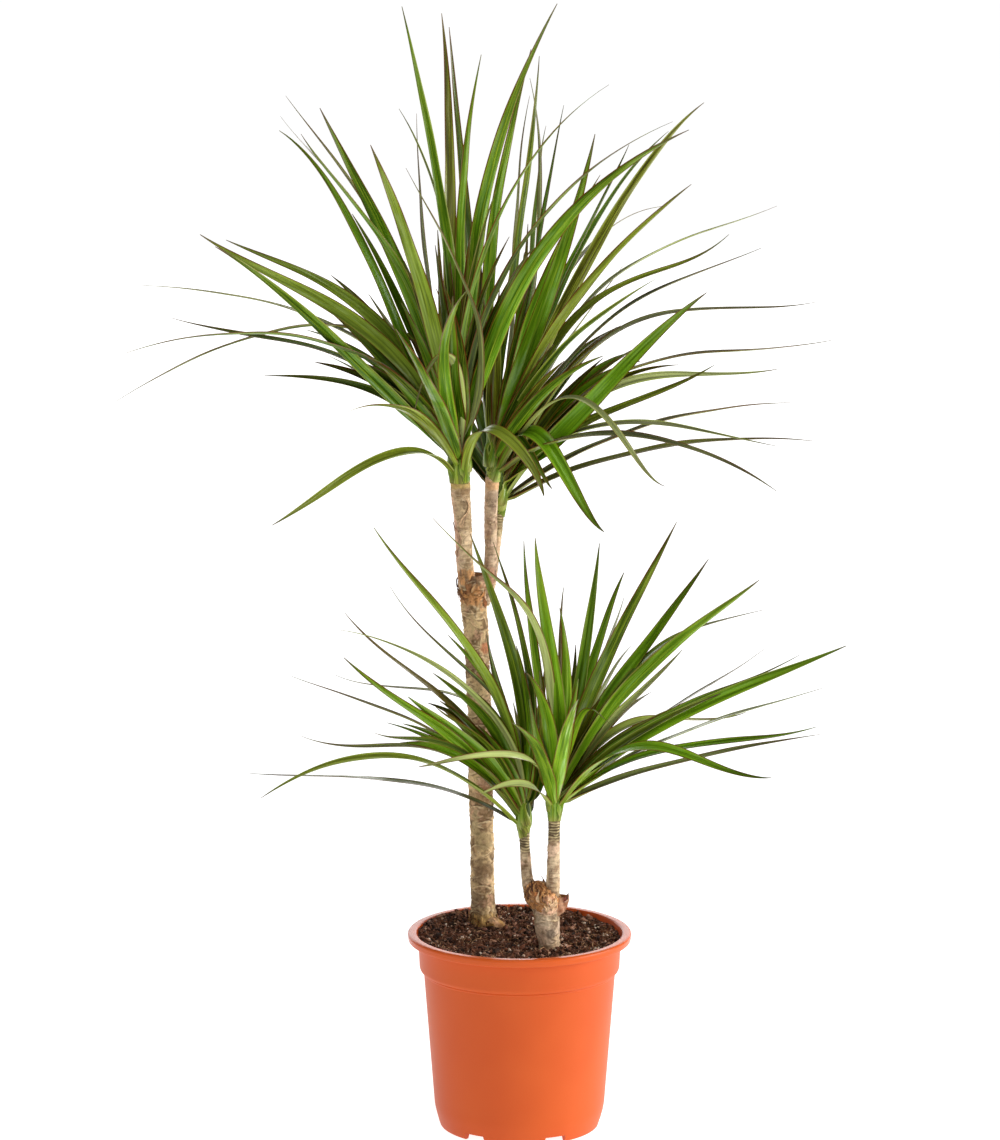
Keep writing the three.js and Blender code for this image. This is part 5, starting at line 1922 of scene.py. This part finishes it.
SHORT_RIGHT_LEAVES = leaves(
    (-120, 7.5, 0.6, PALE, 18, 368, -10, 415, -65, 468),
    (-34, 8.5, 0.75, GREEN, 17, 325, 8, 390, 3, 451),
    (-66, 12, 0.95, BRIGHT, 28, 325, 19, 392, 11.5, 453),
    (10, 8, 0.5, BROWN, 31, 310, 31, 372, 33, 416),
    (-24, 11, 0.9, GREEN, 33, 305, 35, 352, 30, 400),
    (0, 11, 0.8, GREEN, 41, 318, 52, 386, 59.5, 449),
    (60, 10, 0.8, GREEN, 43, 317, 61, 379, 78, 427),
    (100, 8, 0.4, MAROON, 44, 312, 64, 366, 78, 408),
    (-30, 11.5, 0.8, DARK, 53, 333, 84, 400, 117, 465),
    (60, 12, 0.85, GREEN, 62, 323, 101, 380, 141, 437),
    (-50, 12, 0.85, GREEN, 77, 333, 128, 382, 179, 421),
    (70, 8.5, 0.45, DARK, 80, 346, 128, 383, 183, 398.5),
    (110, 9, 0.6, PALE, 62, 305, 93, 338, 122, 368),
    (120, 8.5, 0.5, PALE, 48, 305, 66, 345, 84, 371),
    (-70, 12, 0.9, BRIGHT, 98, 305, 172, 341, 245, 371),
    (10, 8, 0.4, GREEN, 88, 306, 150, 336, 210, 364),
    (120, 8, 0.28, GREY, 76, 298, 130, 333, 184, 369),
    (110, 8.5, 0.35, GREY, 97, 293, 163, 319, 229, 339),
    (140, 8.5, 0.35, OLIVE, 76, 308, 122, 315, 170, 320),
    (-30, 10, 0.6, GREEN, 95, 287, 160, 298, 224, 309),
    (40, 9, 0.35, GREY, 82, 271, 155, 290, 226, 303),
    (-110, 10.5, 0.75, GREEN, 84, 293, 137, 283, 190, 269.5),
    (-60, 6.5, 0.8, BRIGHT, 43, 310, 54, 322, 68, 311),
    (-115, 7.5, 0.75, PALE, 5, 284, -36, 286, -76, 278),
    (-66, 8.5, 0.7, PALE, 10, 262.5, -8, 265, -29, 257),
    (170, 10, 0.8, GREEN, 38, 275, 48, 300),
    (165, 10, 0.8, GREEN, 44, 295, 66, 335),
    (175, 10, 0.8, DARK, 52, 270, 84, 292),
    (130, 10, 0.8, DARK, 38, 310, 42, 372),
    (160, 9, 0.6, GREEN, 62, 280, 110, 318),
    (-190, 11, 0.8, BRIGHT, 34, 300, 44, 330),
    (-185, 10, 0.8, GREEN, 14, 290, -6, 312),
    (-50, 11, 0.85, GREEN, 17, 282, 7, 330),
    (-20, 10, 0.8, DARK, 20, 294, 15, 352),
)
HEADS = (
    Head("tall_cane_left_head", -44.6, 497.6, 20, 8.4, 38, TALL_LEFT_LEAVES, 7.4, below=FRONT),
    Head("tall_cane_middle_head", -20.2, 498.4, 40, 6.6, 34, TALL_MIDDLE_LEAVES, 5.3, below=BACK, above=FRONT),
    Head("tall_cane_right_head", -15.4, 471, 66, 5, 40, TALL_RIGHT_LEAVES, 3.8, above=BACK),
    Head("short_cane_left_head", 3.6, 226, -16, 5.4, 32, SHORT_LEFT_LEAVES, 3.9, tint=1.22, above=SHORT),
    Head("short_cane_right_head", 26.1, 239.2, -34, 6, 32, SHORT_RIGHT_LEAVES, 4.6, tint=1.22, below=SHORT),
)


# ---------------------------------------------------------------- studio


@dataclass(frozen=True)
class Softbox:
    """A rectangular light: where it stands and where it points, in metres, its size and power."""

    name: str
    place: tuple[float, float, float]
    target: tuple[float, float, float]
    size: tuple[float, float]
    power: float

    def build(self) -> None:
        """Makes the light and turns it to its target."""
        lamp = bpy.data.lights.new(self.name, "AREA")
        lamp.shape = "RECTANGLE"
        lamp.size, lamp.size_y = self.size
        lamp.energy = self.power
        made = bpy.data.objects.new(self.name, lamp)
        made.location = self.place
        heading = Vector(self.target) - Vector(self.place)
        made.rotation_euler = heading.to_track_quat("-Z", "Y").to_euler()
        bpy.context.scene.collection.objects.link(made)


@dataclass(frozen=True)
class Studio:
    """Pale floor, white surroundings and soft light that is stronger from the right."""

    floor_reach: float = 80.0
    floor_tone: float = 0.5
    floor_glow: float = 0.92
    surround: float = 0.2
    lights: tuple[Softbox, ...] = (
        Softbox("right_softbox", (3.0, -0.5, 1.0), (0, 0, 0.35), (2.6, 1.9), 112.0),
        Softbox("left_softbox", (-2.6, -1.2, 1.1), (0, 0, 0.4), (1.2, 2.0), 9.0),
        Softbox("front_softbox", (0.6, -3.6, 1.9), (0, 0, 0.4), (1.6, 1.6), 10.0),
        Softbox("top_softbox", (0.2, -0.8, 3.0), (0, 0, 0.5), (2.0, 1.6), 30.0),
        Softbox("back_softbox", (-0.3, 6.0, 2.2), (0, 0, 0.6), (9.0, 2.9), 200.0),
    )

    def build(self) -> None:
        """Makes the floor, the surroundings and the lights."""
        half = self.floor_reach
        corners = [(-half, -half, 0), (half, -half, 0), (half, half, 0), (-half, half, 0)]
        mesh = bpy.data.meshes.new("floor")
        mesh.from_pydata(corners, [], [(0, 1, 2, 3)])
        tone = self.floor_tone
        shader = Shader("floor_paint", emission_strength=self.floor_glow)
        shader.surface.inputs["Emission Color"].default_value = (1, 1, 1, 1)
        shader.dress((tone, tone, tone, 1.0), 0.9)
        mesh.materials.append(shader.material)
        floor = bpy.data.objects.new("floor", mesh)
        bpy.context.scene.collection.objects.link(floor)
        world = bpy.data.worlds.new("surround")
        world.use_nodes = True
        sky = world.node_tree.nodes["Background"]
        sky.inputs["Color"].default_value = (1, 1, 1, 1)
        sky.inputs["Strength"].default_value = self.surround
        bpy.context.scene.world = world
        bpy.context.scene.view_settings.view_transform = "Standard"
        for light in self.lights:
            light.build()


# ---------------------------------------------------------------- the whole plant


def corners(box: tuple[Vector, Vector]) -> list[list[float]]:
    """A box's lowest and highest corners as plain lists."""
    return [list(box[0]), list(box[1])]


def main() -> None:
    """Builds the studio and the plant from the pot up."""
    logging.basicConfig(level=logging.INFO, format="%(name)s %(message)s")
    CAMERA.build()
    Studio().build()
    pot = Pot()
    pot.build(PlasticFinish())
    Soil(pot).build(PeatFinish(), ScatterFinish("grit", 0.6, 1800), ScatterFinish("wood_chips", 0.8, 1500))
    bark = BarkFinish()
    TALL_CANE.build(bark)
    SHORT_CANE.build(bark)
    leaf = LeafFinish().material()
    for number, head in enumerate(HEADS):
        head.build(number, leaf)


if __name__ == "__main__":
    main()
